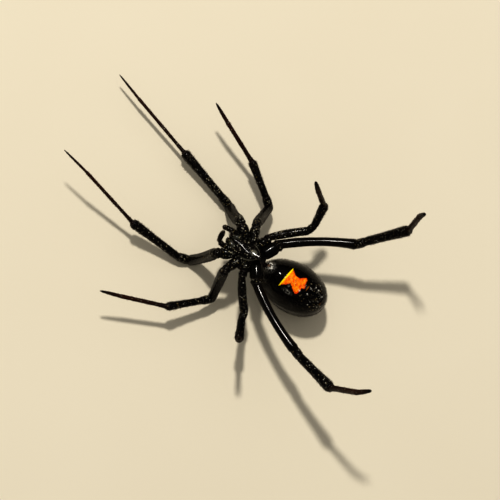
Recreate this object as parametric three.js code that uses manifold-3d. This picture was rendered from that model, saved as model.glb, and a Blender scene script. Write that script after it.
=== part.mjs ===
// Black widow spider: an adult female, life size, as a still museum model.
//
// Millimetres. The animal lies on its back: x points to its own left, y to its head,
// and z up out of its belly. The back of the abdomen and the knees of the first legs
// rest on small flats at z = 0. All shapes are made with x = y = 0 at the middle of the
// sternum, and the finished group is moved along x and y, so that its origin is the
// middle of the flat under the abdomen.

import * as THREE from 'three';
import { mergeVertices } from 'three/addons/utils/BufferGeometryUtils.js';
import Module from 'manifold-3d';

const wasm = await Module();
wasm.setup();

const GAP = 0.25;               // clear space between neighbouring lengths
const JOINT_CUT = 0.3;          // how far past a knee the cut lies, so the knee stays on the femur

// Head and thorax, from the breastplate on top to the carapace below
const STERNUM_TOP = 7.15;
const STERNUM_FRONT = 1.55;
const STERNUM_BACK = -1.4;
const STERNUM_HALF = 1.12;
const CARAPACE_FRONT = 2.2;
const CARAPACE_BACK = -1.95;
const CARAPACE_HALF = 1.85;
const HEAD_HALF = 0.98;
const CARAPACE_LOW = 4.6;
const CARAPACE_RIM = 5.7;
const EYE_RADIUS = 0.1;
const CHELICERA_RADIUS = 0.3;

// Abdomen, from its front pole to its rear pole
const ABDOMEN_FRONT = -1.98;
const ABDOMEN_BACK = -9.4;
const ABDOMEN_HALF = 2.5;
const ABDOMEN_TOP = 6.6;
const ABDOMEN_WAIST = 3.55;     // height of its widest line
const ABDOMEN_BOTTOM = -0.16;   // before the resting flat is cut
const ABDOMEN_FLATNESS = 0.6;   // below 1 the belly is flatter than an ellipse
const FRONT_TAPER = 0.12;
const REAR_FULLNESS = 0.85;     // below 1 its rear is blunter than an ellipse
const BELLY_LINE = 0.22;        // the middle of the abdomen lies this far to the left
const ABDOMEN_SWING = 0.025;    // and its midline this much further for each mm to the rear
const EPIGYNUM_Y = -2.75;
const SPINNERETS_Y = -7.87;
const SPINNERETS_RADIUS = 0.62;
const REST_Y = (ABDOMEN_FRONT + ABDOMEN_BACK) / 2;   // middle of the flat under the abdomen

// Lengths of the seven leg joints of each pair; the coxa's length takes in the trochanter
const LENGTHS = {
  1: { coxa: 1.9, femur: 6.3, patella: 1.5, tibia: 5.95, metatarsus: 7.25, tarsus: 3.05 },
  2: { coxa: 1.95, femur: 4.9, patella: 1.25, tibia: 3.8, metatarsus: 4.9, tarsus: 2.15 },
  3: { coxa: 1.5, femur: 3.95, patella: 0.9, tibia: 2.4, metatarsus: 3.2, tarsus: 1.6 },
  4: { coxa: 2.05, femur: 7.65, patella: 1.15, tibia: 4.75, metatarsus: 5.0, tarsus: 1.9 },
};

// Greatest radius of each joint, and where each pair leaves the thorax
const RADII = {
  1: { coxa: 0.57, femur: 0.5, patella: 0.48, tibia: 0.41, metatarsus: 0.25 },
  2: { coxa: 0.5, femur: 0.46, patella: 0.44, tibia: 0.38, metatarsus: 0.25 },
  3: { coxa: 0.46, femur: 0.38, patella: 0.38, tibia: 0.41, metatarsus: 0.27 },
  4: { coxa: 0.62, femur: 0.42, patella: 0.46, tibia: 0.49, metatarsus: 0.29 },
};
const ROOTS = {
  1: [0.98, 1.05, 6.45],
  2: [1.1, 0.3, 6.42],
  3: [1.0, -0.5, 6.42],
  4: [0.6, -1.35, 6.45],
};

// How thick each pair's femur is at 0.16, 0.36, 0.62 and 0.85 of its length, as a share of its radius
const FEMUR_SHAPE = {
  1: [1.06, 1, 0.96, 0.94],
  2: [1.03, 1, 0.93, 0.88],
  3: [0.92, 1, 1.01, 1],
  4: [1.04, 0.98, 1, 1.12],
};

// How far the middle of each pair's femur arches, down to the back and towards the head
const FEMUR_BOW = { 1: [0.3, 0], 2: [0.25, 0], 3: [0.15, 0.08], 4: [0.05, 0.3] };

// The pose: [heading, pitch] in degrees of coxa, femur, patella, tibia, metatarsus and
// tarsus. Heading turns from straight out sideways towards the head, pitch from level up.
const POSE = {
  left: {
    1: [[53.5, -6], [45, -67.5], [82, 40.5], [76, 3], [76, 3], [74.5, 3]],
    2: [[20.5, -8.5], [-1.5, -54], [57.5, 29.5], [57.5, 7], [70.5, 17.5], [68, 13]],
    3: [[-15, 2.5], [-45, 3.5], [-14.5, 37.5], [11, 36], [81, 65], [68.5, 59.5]],
    4: [[-23.5, 0], [-55, 6], [-43, 49], [-43.5, 31], [5.5, 82], [-86.5, 84.5]],
  },
  right: {
    1: [[56, -4.5], [58.5, -71], [65.5, 29.5], [88, 18.5], [98.5, 22], [98.5, 5.5]],
    2: [[17.5, -7.5], [-14, -60], [40, 27.5], [42, 17.5], [65.5, 8.5], [66.5, 14]],
    3: [[-15, 3.5], [-43, -31.5], [-13.5, 17.5], [-25, 26.5], [6, 80], [5, 81]],
    4: [[-36, 4], [-63.5, 8.5], [-66.5, 30], [-74.5, 27.5], [-101, 63], [-125, 55.5]],
  },
};

// Palps: where each joint bends, from the mouth to the tip, on the side named
const PALP_RADIUS = 0.22;
const PALPS = {
  left: [[0.75, 1.75, 6.75], [0.82, 2.6, 6.25], [0.72, 3.14, 6.3], [0.5, 3.5, 6.85]],
  right: [[0.8, 1.75, 6.75], [0.98, 2.62, 6.3], [0.66, 3.14, 6.4], [-0.04, 3.24, 6.85]],
};

const LEG_SIDES = 10;
const BODY_SIDES = 32;

const shell = new THREE.MeshStandardMaterial({ color: 0x0b0a0a, roughness: 0.25, metalness: 0 });
const legShell = new THREE.MeshStandardMaterial({ color: 0x0d0a09, roughness: 0.3, metalness: 0 });
const footShell = new THREE.MeshStandardMaterial({ color: 0x2c1409, roughness: 0.4, metalness: 0 });

// Solid from a three.js geometry: vertices shared, and pinched triangles at poles dropped
function solid(geometry) {
  geometry.deleteAttribute('normal');
  geometry.deleteAttribute('uv');
  const merged = mergeVertices(geometry, 1e-5);
  const corners = merged.index.array;
  const kept = [];
  for (let i = 0; i < corners.length; i += 3) {
    const [a, b, c] = [corners[i], corners[i + 1], corners[i + 2]];
    if (a !== b && b !== c && c !== a) kept.push(a, b, c);
  }
  return new wasm.Manifold(new wasm.Mesh({
    numProp: 3,
    vertProperties: new Float32Array(merged.attributes.position.array),
    triVerts: new Uint32Array(kept),
  }));
}

// Closed surface through rings of points, its two ends closed at their middles
function loft(rings) {
  const sides = rings[0].length;
  const middle = (ring) => ring.reduce((sum, p) => sum.add(p), new THREE.Vector3()).divideScalar(sides);
  const points = [middle(rings[0]), ...rings.flat(), middle(rings[rings.length - 1])];
  const index = [];
  for (let i = 0; i < sides; i += 1) {
    const j = (i + 1) % sides;
    index.push(0, 1 + j, 1 + i);
    for (let k = 0; k < rings.length - 1; k += 1) {
      const low = 1 + k * sides;
      const high = low + sides;
      index.push(low + i, low + j, high + i, low + j, high + j, high + i);
    }
    const top = 1 + (rings.length - 1) * sides;
    index.push(points.length - 1, top + i, top + j);
  }
  const geometry = new THREE.BufferGeometry().setFromPoints(points);
  geometry.setIndex(index);
  return solid(geometry);
}

// Round tube carried along a curve. Each station is [distance along, radius], and
// distances before the start or past the end follow the curve's end tangents.
function sweep(curve, stations, sides) {
  const length = curve.getLength();
  const across = new THREE.Vector3(0.31, 0.17, 0.94);
  const rings = stations.map(([along, radius]) => {
    const u = THREE.MathUtils.clamp(along / length, 0, 1);
    const tangent = curve.getTangentAt(u);
    const centre = curve.getPointAt(u).addScaledVector(tangent, along - u * length);
    across.addScaledVector(tangent, -across.dot(tangent)).normalize();
    const second = new THREE.Vector3().crossVectors(tangent, across);
    return Array.from({ length: sides }, (_, i) => {
      const turn = (2 * Math.PI * i) / sides;
      return centre.clone()
        .addScaledVector(across, radius * Math.cos(turn))
        .addScaledVector(second, radius * Math.sin(turn));
    });
  });
  return loft(rings);
}

function ball(centre, halfSizes, turnZ = 0, sides = 12) {
  const geometry = new THREE.SphereGeometry(1, sides, sides / 2);
  geometry.scale(...halfSizes).rotateZ(turnZ).translate(...centre);
  return solid(geometry);
}

// Everything on the far side of a plane, as a block to cut away with
function beyond(point, normal, reach = 6) {
  const block = new THREE.BoxGeometry(2 * reach, 2 * reach, 2 * reach);
  block.translate(0, 0, reach);
  block.applyQuaternion(new THREE.Quaternion().setFromUnitVectors(new THREE.Vector3(0, 0, 1), normal));
  block.translate(point.x, point.y, point.z);
  return solid(block);
}

function largest(body) {
  return body.decompose().sort((a, b) => b.volume() - a.volume())[0];
}

const UP = new THREE.Vector3(0, 0, 1);
const floor = beyond(new THREE.Vector3(0, 0, 0), UP.clone().negate(), 30);

// Straight pieces joined end to end, with each bend rounded over a short way
function bentPath(points, round = 0.25) {
  const path = new THREE.CurvePath();
  let from = points[0];
  for (let i = 1; i < points.length - 1; i += 1) {
    const corner = points[i];
    const before = corner.clone().add(points[i - 1].clone().sub(corner).setLength(round));
    const after = corner.clone().add(points[i + 1].clone().sub(corner).setLength(round));
    path.add(new THREE.LineCurve3(from, before));
    path.add(new THREE.QuadraticBezierCurve3(before, corner, after));
    from = after;
  }
  path.add(new THREE.LineCurve3(from, points[points.length - 1]));
  return path;
}

// Carapace: oval sections across y, wide over the thorax and narrow at the head
function carapaceSize(y) {
  const back = THREE.MathUtils.clamp((y - CARAPACE_BACK) / 1.9, 0, 1);
  const front = THREE.MathUtils.clamp((CARAPACE_FRONT - y) / 0.55, 0, 1);
  const neck = THREE.MathUtils.smoothstep(y, -0.1, 1.5);
  const width = THREE.MathUtils.lerp(CARAPACE_HALF, HEAD_HALF, neck);
  const ends = Math.sqrt(1 - (1 - back) ** 2) * (1 - (1 - front) ** 2.6);
  const depth = (CARAPACE_RIM - CARAPACE_LOW) * (1 - 0.12 * (1 - neck));
  return { half: width * ends, down: depth * (0.35 + 0.65 * ends), up: 0.5 * ends };
}

function carapacePoint(y, turn, grow = 0) {
  const size = carapaceSize(y);
  const height = Math.sin(turn) < 0 ? size.down : size.up;
  return new THREE.Vector3(
    (size.half + grow) * Math.cos(turn),
    y,
    CARAPACE_RIM + (height + grow) * Math.sin(turn),
  );
}

function carapace(grow = 0) {
  const rings = [];
  const steps = 13;
  for (let k = 0; k <= steps; k += 1) {
    const share = 0.5 - 0.5 * Math.cos((Math.PI * (k + 0.35)) / (steps + 0.7));
    const y = THREE.MathUtils.lerp(CARAPACE_BACK, CARAPACE_FRONT, share);
    const stretch = 1 + (2 * grow) / (CARAPACE_FRONT - CARAPACE_BACK);
    rings.push(Array.from({ length: 22 }, (_, i) => {
      const point = carapacePoint(y, (-2 * Math.PI * i) / 22, grow);
      point.y *= stretch;
      return point;
    }));
  }
  return loft(rings);
}

// Sternum: a heart-shaped plate with rounded edges, pointed between the last coxae
function sternum(grow = 0) {
  const half = STERNUM_HALF - 0.25;
  const front = STERNUM_FRONT - 0.25;
  const back = STERNUM_BACK + 0.3;
  const heart = new THREE.Shape();
  heart.moveTo(0, back);
  heart.bezierCurveTo(0.5, back + 0.3, half, -0.1, half, 0.7);
  heart.bezierCurveTo(half, 1.05, 0.62, front, 0, front);
  heart.bezierCurveTo(-0.62, front, -half, 1.05, -half, 0.7);
  heart.bezierCurveTo(-half, -0.1, -0.5, back + 0.3, 0, back);
  const rim = 0.25 + grow;
  const plate = new THREE.ExtrudeGeometry(heart, {
    depth: STERNUM_TOP + grow - rim - 5.2,
    bevelThickness: rim,
    bevelSize: rim,
    bevelSegments: 3,
    curveSegments: 5,
  });
  plate.translate(0, 0, 5.2);
  return solid(plate);
}

function mouthparts(grow = 0) {
  const endite = (side) => ball(
    [0.4 * side, 1.72, STERNUM_TOP - 0.3],
    [0.27 + grow, 0.5 + grow, 0.26 + grow],
    0.35 * side,
  );
  const labium = ball([0, 1.55, STERNUM_TOP - 0.22], [0.27 + grow, 0.34 + grow, 0.2 + grow]);
  const throat = ball([0, 1.5, 6.2], [0.55 + grow, 0.45 + grow, 0.75 + grow]);
  return endite(1).add(endite(-1)).add(labium).add(throat);
}

function thorax(grow = 0) {
  return carapace(grow).add(sternum(grow)).add(mouthparts(grow));
}

// Eight eyes in two rows of four across the front of the head
function eyes() {
  const rows = [
    { y: 2.04, turns: [-118, -99, -81, -62] },
    { y: 1.83, turns: [-124, -101, -79, -56] },
  ];
  return rows.flatMap(({ y, turns }) => turns.map((turn) => {
    const centre = carapacePoint(y, THREE.MathUtils.degToRad(turn));
    return ball([centre.x, centre.y, centre.z], [EYE_RADIUS, EYE_RADIUS, EYE_RADIUS], 0, 8);
  }));
}

// Pedicel: the short waist between thorax and abdomen, its ends sunk in a pocket of each
function pedicel(grow = 0) {
  const waist = new THREE.LineCurve3(new THREE.Vector3(0, -1.45, 5.5), new THREE.Vector3(0, -3.0, 5.15));
  const end = waist.getLength() + grow;
  const radius = 0.42 + grow;
  return sweep(waist, [[-grow, 0.8 * radius], [0.3, radius], [0.75, 0.8 * radius], [1.25, radius],
    [end, 0.8 * radius]], 14);
}

// x of the abdomen's middle at y
function midline(y) {
  return BELLY_LINE + ABDOMEN_SWING * (REST_Y - y);
}

// Abdomen: sections across y, egg-shaped seen from above, with a rounder back than belly
function abdomenSection(share) {
  const turn = Math.PI * share;
  const s = Math.sin(turn);
  const forward = Math.max(0, Math.cos(turn));
  const y = REST_Y + ((ABDOMEN_FRONT - ABDOMEN_BACK) / 2) * Math.cos(turn);
  return {
    y,
    x: midline(y),
    half: ABDOMEN_HALF * s ** (y < REST_Y ? REAR_FULLNESS : 1) * (1 - FRONT_TAPER * forward),
    up: (ABDOMEN_TOP - ABDOMEN_WAIST) * s ** ABDOMEN_FLATNESS,
    down: (ABDOMEN_WAIST - ABDOMEN_BOTTOM) * s ** 0.92,
  };
}

function abdomenShape() {
  const steps = 18;
  const rings = [];
  for (let k = 0; k <= steps; k += 1) {
    const section = abdomenSection((k + 0.3) / (steps + 0.6));
    rings.push(Array.from({ length: BODY_SIDES }, (_, i) => {
      const turn = (2 * Math.PI * i) / BODY_SIDES;
      const height = Math.sin(turn) < 0 ? section.down : section.up;
      return new THREE.Vector3(
        section.x + section.half * Math.cos(turn),
        section.y,
        ABDOMEN_WAIST + height * Math.sin(turn),
      );
    }));
  }
  return loft(rings);
}

function bellyHeight(y) {
  const turn = Math.acos((y - REST_Y) / ((ABDOMEN_FRONT - ABDOMEN_BACK) / 2));
  return ABDOMEN_WAIST + abdomenSection(turn / Math.PI).up;
}

// Spinnerets: three pairs of blunt cones and the anal cone on one round plug
function spinneretPlug(grow = 0) {
  const z = bellyHeight(SPINNERETS_Y);
  const axis = new THREE.LineCurve3(
    new THREE.Vector3(midline(SPINNERETS_Y), SPINNERETS_Y, z - 0.7),
    new THREE.Vector3(midline(SPINNERETS_Y), SPINNERETS_Y - 0.05, z + 0.12),
  );
  const radius = SPINNERETS_RADIUS + grow;
  return sweep(axis, [[-grow, radius], [0.7, radius], [axis.getLength() + 2 * grow, 0.85 * radius]], 16);
}

function spinnerets() {
  const middle = midline(SPINNERETS_Y);
  const z = bellyHeight(SPINNERETS_Y);
  const ring = [[0.3, 0.28, 0.19], [0.36, -0.1, 0.15], [0.2, -0.34, 0.16]];
  let group = spinneretPlug();
  for (const [x, y, radius] of ring) {
    for (const side of [-1, 1]) {
      const foot = new THREE.Vector3(middle + side * x, SPINNERETS_Y + y, z - 0.1);
      const tip = new THREE.Vector3(middle + 0.7 * side * x, SPINNERETS_Y + 0.75 * y, z + 0.5);
      const cone = new THREE.LineCurve3(foot, tip);
      group = group.add(sweep(cone, [[0, radius], [0.4, 0.85 * radius], [0.6, 0.45 * radius]], 9));
    }
  }
  return group.add(ball([middle, SPINNERETS_Y - 0.52, z + 0.02], [0.17, 0.17, 0.22]));
}

// Joints of one leg in space, from its root in the thorax to the tip of its tarsus
function legJoints(side, pair) {
  const sign = side === 'left' ? 1 : -1;
  const [x, y, z] = ROOTS[pair];
  const joints = [new THREE.Vector3(sign * x, y, z)];
  Object.values(LENGTHS[pair]).forEach((length, i) => {
    const [heading, pitch] = POSE[side][pair][i].map(THREE.MathUtils.degToRad);
    const step = new THREE.Vector3(
      sign * Math.cos(heading) * Math.cos(pitch),
      Math.sin(heading) * Math.cos(pitch),
      Math.sin(pitch),
    );
    joints.push(joints[i].clone().addScaledVector(step, length));
  });
  return joints;
}

function coxaTube(side, pair, grow = 0) {
  const [root, end] = legJoints(side, pair);
  const length = LENGTHS[pair].coxa;
  const radius = RADII[pair].coxa;
  const waist = length - 0.5;
  return sweep(new THREE.LineCurve3(root, end), [
    [0, 0.72 * radius + grow],
    [0.45, 0.88 * radius + grow],
    [0.65 * waist, radius + grow],
    [waist - 0.05, 0.9 * radius + grow],
    [waist + 0.03, 0.82 * radius + grow],
    [waist + 0.15, 0.93 * radius + grow],
    [length - 0.05, 0.9 * radius + grow],
    [length + 0.3 * radius + grow, 0.6 * radius + grow],
  ], LEG_SIDES);
}

// Femur: gently bowed, and swollen as its pair's shape says
function femurTube(joints, pair) {
  const [start, end] = [joints[1], joints[2]];
  const { femur: radius, patella } = RADII[pair];
  const swell = FEMUR_SHAPE[pair];
  const middle = start.clone().lerp(end, 0.5);
  const along = end.clone().sub(start).normalize();
  const down = UP.clone().negate().addScaledVector(along, along.z).normalize();
  const ahead = new THREE.Vector3(0, 1, 0).addScaledVector(along, -along.y).normalize();
  const [low, forward] = FEMUR_BOW[pair];
  middle.addScaledVector(down, 2 * low).addScaledVector(ahead, 2 * forward);
  const curve = new THREE.QuadraticBezierCurve3(start, middle, end);
  const length = curve.getLength();
  return sweep(curve, [
    [-0.35, 0.55 * radius],
    [0, 0.9 * radius],
    [0.16 * length, swell[0] * radius],
    [0.36 * length, swell[1] * radius],
    [0.62 * length, swell[2] * radius],
    [0.85 * length, swell[3] * radius],
    [length - 0.25, patella],
    [length, patella],
    [length + 0.55 * patella, 0.84 * patella],
    [length + 0.9 * patella, 0.45 * patella],
  ], LEG_SIDES);
}

// Patella and tibia in one length, with the narrow joint between them
function tibiaTube(joints, pair) {
  const { patella, tibia } = RADII[pair];
  const knee = LENGTHS[pair].patella;
  const path = bentPath(joints.slice(2, 5));
  const length = path.getLength();
  return sweep(path, [
    [-0.7 * patella, 0.6 * patella],
    [0, 0.96 * patella],
    [0.5 * knee, patella],
    [knee - 0.2, 0.9 * patella],
    [knee, 0.78 * tibia],
    [knee + 0.22, 0.83 * tibia],
    [0.45 * length + 0.3 * knee, 0.87 * tibia],
    [length - 0.7, tibia],
    [length - 0.1, 0.97 * tibia],
    [length + 0.25 * tibia, 0.6 * tibia],
  ], LEG_SIDES);
}

// Metatarsus and tarsus in one length, drawn out to the claws
function footTube(joints, pair) {
  const { metatarsus: radius } = RADII[pair];
  const ankle = LENGTHS[pair].metatarsus;
  const path = bentPath(joints.slice(4, 7));
  const length = path.getLength();
  return sweep(path, [
    [-0.3, 0.8 * radius],
    [0.12, radius],
    [0.35 * ankle, 0.96 * radius],
    [ankle - 0.25, 0.9 * radius],
    [ankle, 0.8 * radius],
    [ankle + 0.2, 0.84 * radius],
    [ankle + 0.55 * (length - ankle), 0.74 * radius],
    [length - 0.25, 0.5 * radius],
    [length, 0.2 * radius],
  ], LEG_SIDES - 2);
}

// The plane between two lengths that meet at joint i, halfway through their bend
function jointPlane(joints, i, shift = 0) {
  const into = joints[i].clone().sub(joints[i - 1]).normalize();
  const out = joints[i + 1].clone().sub(joints[i]).normalize();
  const normal = into.add(out).normalize();
  return { point: joints[i].clone().addScaledVector(normal, shift), normal };
}

function cutAfter(body, { point, normal }) {
  return body.subtract(beyond(point.clone().addScaledVector(normal, -GAP / 2), normal));
}

function cutBefore(body, { point, normal }) {
  return body.subtract(beyond(point.clone().addScaledVector(normal, GAP / 2), normal.clone().negate()));
}

// A chelicera: a blunt cone under the front of the head, with its fang folded inwards
function chelicera(sign) {
  const base = new THREE.Vector3(0.34 * sign, 2.0, 5.35);
  const tip = new THREE.Vector3(0.27 * sign, 2.42, 6.95);
  const trunk = sweep(new THREE.LineCurve3(base, tip), [
    [-0.1, 0.7 * CHELICERA_RADIUS],
    [0.3, CHELICERA_RADIUS],
    [0.9, 0.96 * CHELICERA_RADIUS],
    [1.4, 0.78 * CHELICERA_RADIUS],
    [1.66, 0.5 * CHELICERA_RADIUS],
  ], 12);
  const fang = sweep(new THREE.QuadraticBezierCurve3(
    tip.clone().add(new THREE.Vector3(0, 0, -0.15)),
    tip.clone().add(new THREE.Vector3(0, 0.02, 0.2)),
    tip.clone().add(new THREE.Vector3(-0.14 * sign, -0.1, 0.22)),
  ), [[0, 0.1], [0.22, 0.08], [0.42, 0.03]], 8);
  const middle = new THREE.Vector3(0.4 * GAP * sign, 0, 0);
  return trunk.add(fang).subtract(beyond(middle, new THREE.Vector3(-sign, 0, 0)));
}

function palpTube(side) {
  const sign = side === 'left' ? 1 : -1;
  const path = bentPath(PALPS[side].map(([x, y, z]) => new THREE.Vector3(sign * x, y, z)), 0.15);
  const length = path.getLength();
  return sweep(path, [
    [0, 0.8 * PALP_RADIUS],
    [0.2 * length, PALP_RADIUS],
    [0.36 * length, 0.92 * PALP_RADIUS],
    [0.5 * length, 0.96 * PALP_RADIUS],
    [0.62 * length, 0.9 * PALP_RADIUS],
    [0.85 * length, 0.86 * PALP_RADIUS],
    [length, 0.4 * PALP_RADIUS],
  ], 10);
}

const spider = new THREE.Group();

function node(name, body, material) {
  const { vertProperties, triVerts } = largest(body).getMesh();
  const geometry = new THREE.BufferGeometry();
  geometry.setAttribute('position', new THREE.BufferAttribute(vertProperties, 3));
  geometry.setIndex(new THREE.BufferAttribute(triVerts, 1));
  geometry.computeVertexNormals();
  const mesh = new THREE.Mesh(geometry, material);
  mesh.name = name;
  spider.add(mesh);
}

const pocket = pedicel(GAP);
const roundThorax = thorax(GAP);

let prosoma = thorax().subtract(pocket);
for (const eye of eyes()) prosoma = prosoma.add(eye);
node('prosoma', prosoma, shell);
node('pedicel', pedicel(), shell);

const epigynum = ball([midline(EPIGYNUM_Y), EPIGYNUM_Y, bellyHeight(EPIGYNUM_Y) - 0.05], [0.42, 0.3, 0.26]);
const abdomen = abdomenShape().add(epigynum).subtract(pocket).subtract(spinneretPlug(GAP));
node('abdomen', abdomen.subtract(floor), shell);
node('spinnerets', spinnerets(), shell);

for (const side of ['left', 'right']) {
  const sign = side === 'left' ? 1 : -1;
  node(`chelicera_${side}`, chelicera(sign).subtract(roundThorax), shell);
  node(`palp_${side}`, palpTube(side).subtract(roundThorax).subtract(coxaTube(side, 1, GAP)), legShell);

  for (const pair of [1, 2, 3, 4]) {
    const joints = legJoints(side, pair);
    const hip = jointPlane(joints, 1);
    const knee = jointPlane(joints, 2, JOINT_CUT);
    const ankle = jointPlane(joints, 4);
    let coxa = cutAfter(coxaTube(side, pair), hip).subtract(roundThorax);
    if (pair > 1) coxa = coxa.subtract(coxaTube(side, pair - 1, GAP));
    node(`leg_${pair}_${side}_coxa`, coxa, legShell);
    const femur = cutAfter(cutBefore(femurTube(joints, pair), hip), knee);
    node(`leg_${pair}_${side}_femur`, femur.subtract(floor), legShell);
    const tibia = cutAfter(cutBefore(tibiaTube(joints, pair), knee), ankle);
    node(`leg_${pair}_${side}_tibia`, tibia.subtract(floor), legShell);
    node(`leg_${pair}_${side}_foot`, cutBefore(footTube(joints, pair), ankle), footShell);
  }
}

spider.position.set(-BELLY_LINE, -REST_Y, 0);

export default spider;
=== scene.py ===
import math

import bpy
import numpy as np
from mathutils import Matrix, Vector


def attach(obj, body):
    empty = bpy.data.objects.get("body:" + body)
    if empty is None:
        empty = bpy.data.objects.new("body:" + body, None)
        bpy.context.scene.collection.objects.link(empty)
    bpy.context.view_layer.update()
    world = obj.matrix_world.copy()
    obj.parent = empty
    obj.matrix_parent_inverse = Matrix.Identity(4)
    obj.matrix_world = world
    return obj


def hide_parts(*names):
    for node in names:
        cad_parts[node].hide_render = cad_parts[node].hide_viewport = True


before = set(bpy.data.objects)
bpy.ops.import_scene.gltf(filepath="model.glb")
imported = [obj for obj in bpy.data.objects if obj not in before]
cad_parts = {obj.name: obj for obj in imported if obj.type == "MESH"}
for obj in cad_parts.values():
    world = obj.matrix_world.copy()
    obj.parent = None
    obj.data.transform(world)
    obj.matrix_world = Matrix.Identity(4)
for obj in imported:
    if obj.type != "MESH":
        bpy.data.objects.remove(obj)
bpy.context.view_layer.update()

# Black widow spider, an adult female, as a life-size museum model lying on its back.
#
# All sizes are in millimetres and the angles of tables in degrees. x points to the animal's left,
# y to its head, z up out of its belly, and x = y = 0 is the middle of the breastplate.
# make_piece() moves a finished surface to the model's own origin, under the abdomen, and turns it
# to metres.
MM = 0.001

# Head and thorax
CARAPACE_FRONT = 2.2
CARAPACE_BACK = -1.95
CARAPACE_HALF = 1.85
CARAPACE_LOW = 4.6
CARAPACE_RIM = 5.7
CARAPACE_RISE = 0.5
HEAD_HALF = 0.98
NECK = (-0.1, 1.5)
ROUNDED_BACK = 1.9
ROUNDED_FRONT = 0.55
FOVEA_Y = -0.45
FOVEA_DEPTH = 0.12
NECK_GROOVE_DEPTH = 0.07
RAY_SLOPES = (-0.9, -0.25, 0.4)
RAY_DEPTH = 0.035
RIM_EDGE = 0.045
PLEURA_MIDDLE = (0, 0.1, 6.0)
PLEURA_HALVES = (1.3, 1.6, 0.85)

# Breastplate: its half width at stations of y, and the ridge that winds down its middle
STERNUM_TOP = 7.15
STERNUM_FRONT = 1.55
STERNUM_BACK = -1.4
STERNUM_EDGE = (
    (-1.4, 0.04), (-1.02, 0.42), (-0.65, 0.74), (-0.2, 0.97), (0.3, 1.08), (0.9, 1.08), (1.3, 0.78),
    (1.5, 0.3), (1.55, 0.05),
)
STERNUM_THICKNESS = 0.3
STERNUM_SLOPE = 0.152
RIDGE_X = 0.1
RIDGE_WINDING = 0.33
RIDGE_WINDS_OVER = 0.85
RIDGE_ROUNDING = 0.3
FLAT_PLACE = (0.05, -0.45)
# A place over the flat one, painted pale grey: a painted sheen.
PAINTED_SHEEN_PLACE = (0.08, -0.5)

# Mouthparts, jaws and eyes. A lump has its middle and its half sizes, an outline lists distances
# along a tube and its radius there, and a row of eyes its y and the angles of its four eyes
ENDITE = ((0.4, 1.84, STERNUM_TOP - 0.52), (0.27, 0.48, 0.28))
ENDITE_ROOT = ((0.7, 1.64, STERNUM_TOP - 0.56), (0.27, 0.3, 0.26))
MOUTH_WALL = ((0, 1.7, 6.1), (0.6, 0.5, 0.7))
LABIUM_BACK = (0.1, 1.4, STERNUM_TOP - 0.44)
LABIUM_FRONT = (0.05, 2.1, STERNUM_TOP - 0.55)
LABIUM_OUTLINE = (
    (-0.1, 0.05), (-0.06, 0.14), (0, 0.19), (0.15, 0.21), (0.45, 0.21), (0.6, 0.19), (0.68, 0.13),
    (0.72, 0.04),
)
JAW_BASE = (0.34, 2.0, 5.35)
JAW_TIP = (0.27, 2.42, 6.95)
JAW_BODY = ((0, 0.22), (0.1, 0.27), (0.3, 0.3), (0.6, 0.285), (0.85, 0.23), (0.95, 0.19))
JAW_RIM = 0.18
FANG_OUTLINE = ((-0.05, 0.07), (0.1, 0.085), (0.22, 0.055), (0.34, 0.02), (0.38, 0.004))
EYE_RADIUS = 0.1
EYE_ROWS = ((2.04, (-118, -99, -81, -62)), (1.83, (-124, -101, -79, -56)))

# Palps: where each bends, from the mouth to the tip, and the radius of its four lengths at shares
# of each
PALP_RADIUS = 0.27
PALPS = {
    "left": ((0.75, 1.75, 6.75), (0.82, 2.6, 6.25), (0.72, 3.14, 6.3), (0.5, 3.5, 6.85)),
    "right": ((0.8, 1.75, 6.75), (0.98, 2.62, 6.3), (0.66, 3.14, 6.4), (-0.22, 3.22, 6.85)),
}
PALP_BODIES = (
    ((0.1, 0.85), (0.4, 1.0), (0.9, 0.95)),
    ((0.2, 1.0), (0.6, 1.02), (0.85, 0.95)),
    ((0.2, 0.88), (0.6, 0.98), (0.9, 1.03)),
    ((0.15, 0.95), (0.5, 0.98), (0.75, 0.85), (0.93, 0.6)),
)
PALP_ELBOW = 0.42

# Waist, between the thorax and the abdomen
WAIST_START = (0, -1.35, 5.55)
WAIST_END = (0, -2.9, 5.15)
WAIST_OUTLINE = (
    (-0.2, 0.25), (0, 0.4), (0.3, 0.42), (0.5, 0.33), (0.7, 0.36), (0.9, 0.32), (1.2, 0.4),
    (1.5, 0.42), (1.6, 0.3),
)

# Abdomen: ABDOMEN_WAIST is the height of its widest line. Its sections grow from pole to pole with
# powers of a sine: a flatness is the power for their height, REAR_FULLNESS that for their width
# behind the middle, and a smaller one is fuller
ABDOMEN_FRONT = -1.98
ABDOMEN_BACK = -9.4
ABDOMEN_HALF = 2.5
ABDOMEN_TOP = 6.6
ABDOMEN_WAIST = 3.55
ABDOMEN_BOTTOM = -0.16
ABDOMEN_FLATNESS = 0.6
BACK_FLATNESS = 0.92
REAR_FULLNESS = 0.85
FRONT_TAPER = 0.12
BELLY_LINE = 0.22
ABDOMEN_SWING = 0.025
REST_Y = (ABDOMEN_FRONT + ABDOMEN_BACK) / 2

# Epigynum: a raised plate with a hollow in it and a lip round that, the furrow behind it, and a
# book lung cover to each side
EPIGYNUM_Y = -2.75
PLATE = ((0, EPIGYNUM_Y + 0.1), (0.5, 0.42))
PLATE_HEIGHT = 0.22
HOLLOW_Y = EPIGYNUM_Y + 0.2
HOLLOW_REACH = (0.15, 0.2)
HOLLOW_DEPTH = 0.08
LIP_RADII = (0.28, 0.36)
LIP_HEIGHT = 0.06
FURROW_Y = EPIGYNUM_Y - 0.42
FURROW_DEPTH = 0.06
COVER = (1.12, EPIGYNUM_Y + 0.02)
COVER_REACH = (0.5, 0.34)
COVER_HEIGHT = 0.05
COVER_EDGE_DEPTH = 0.08

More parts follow.
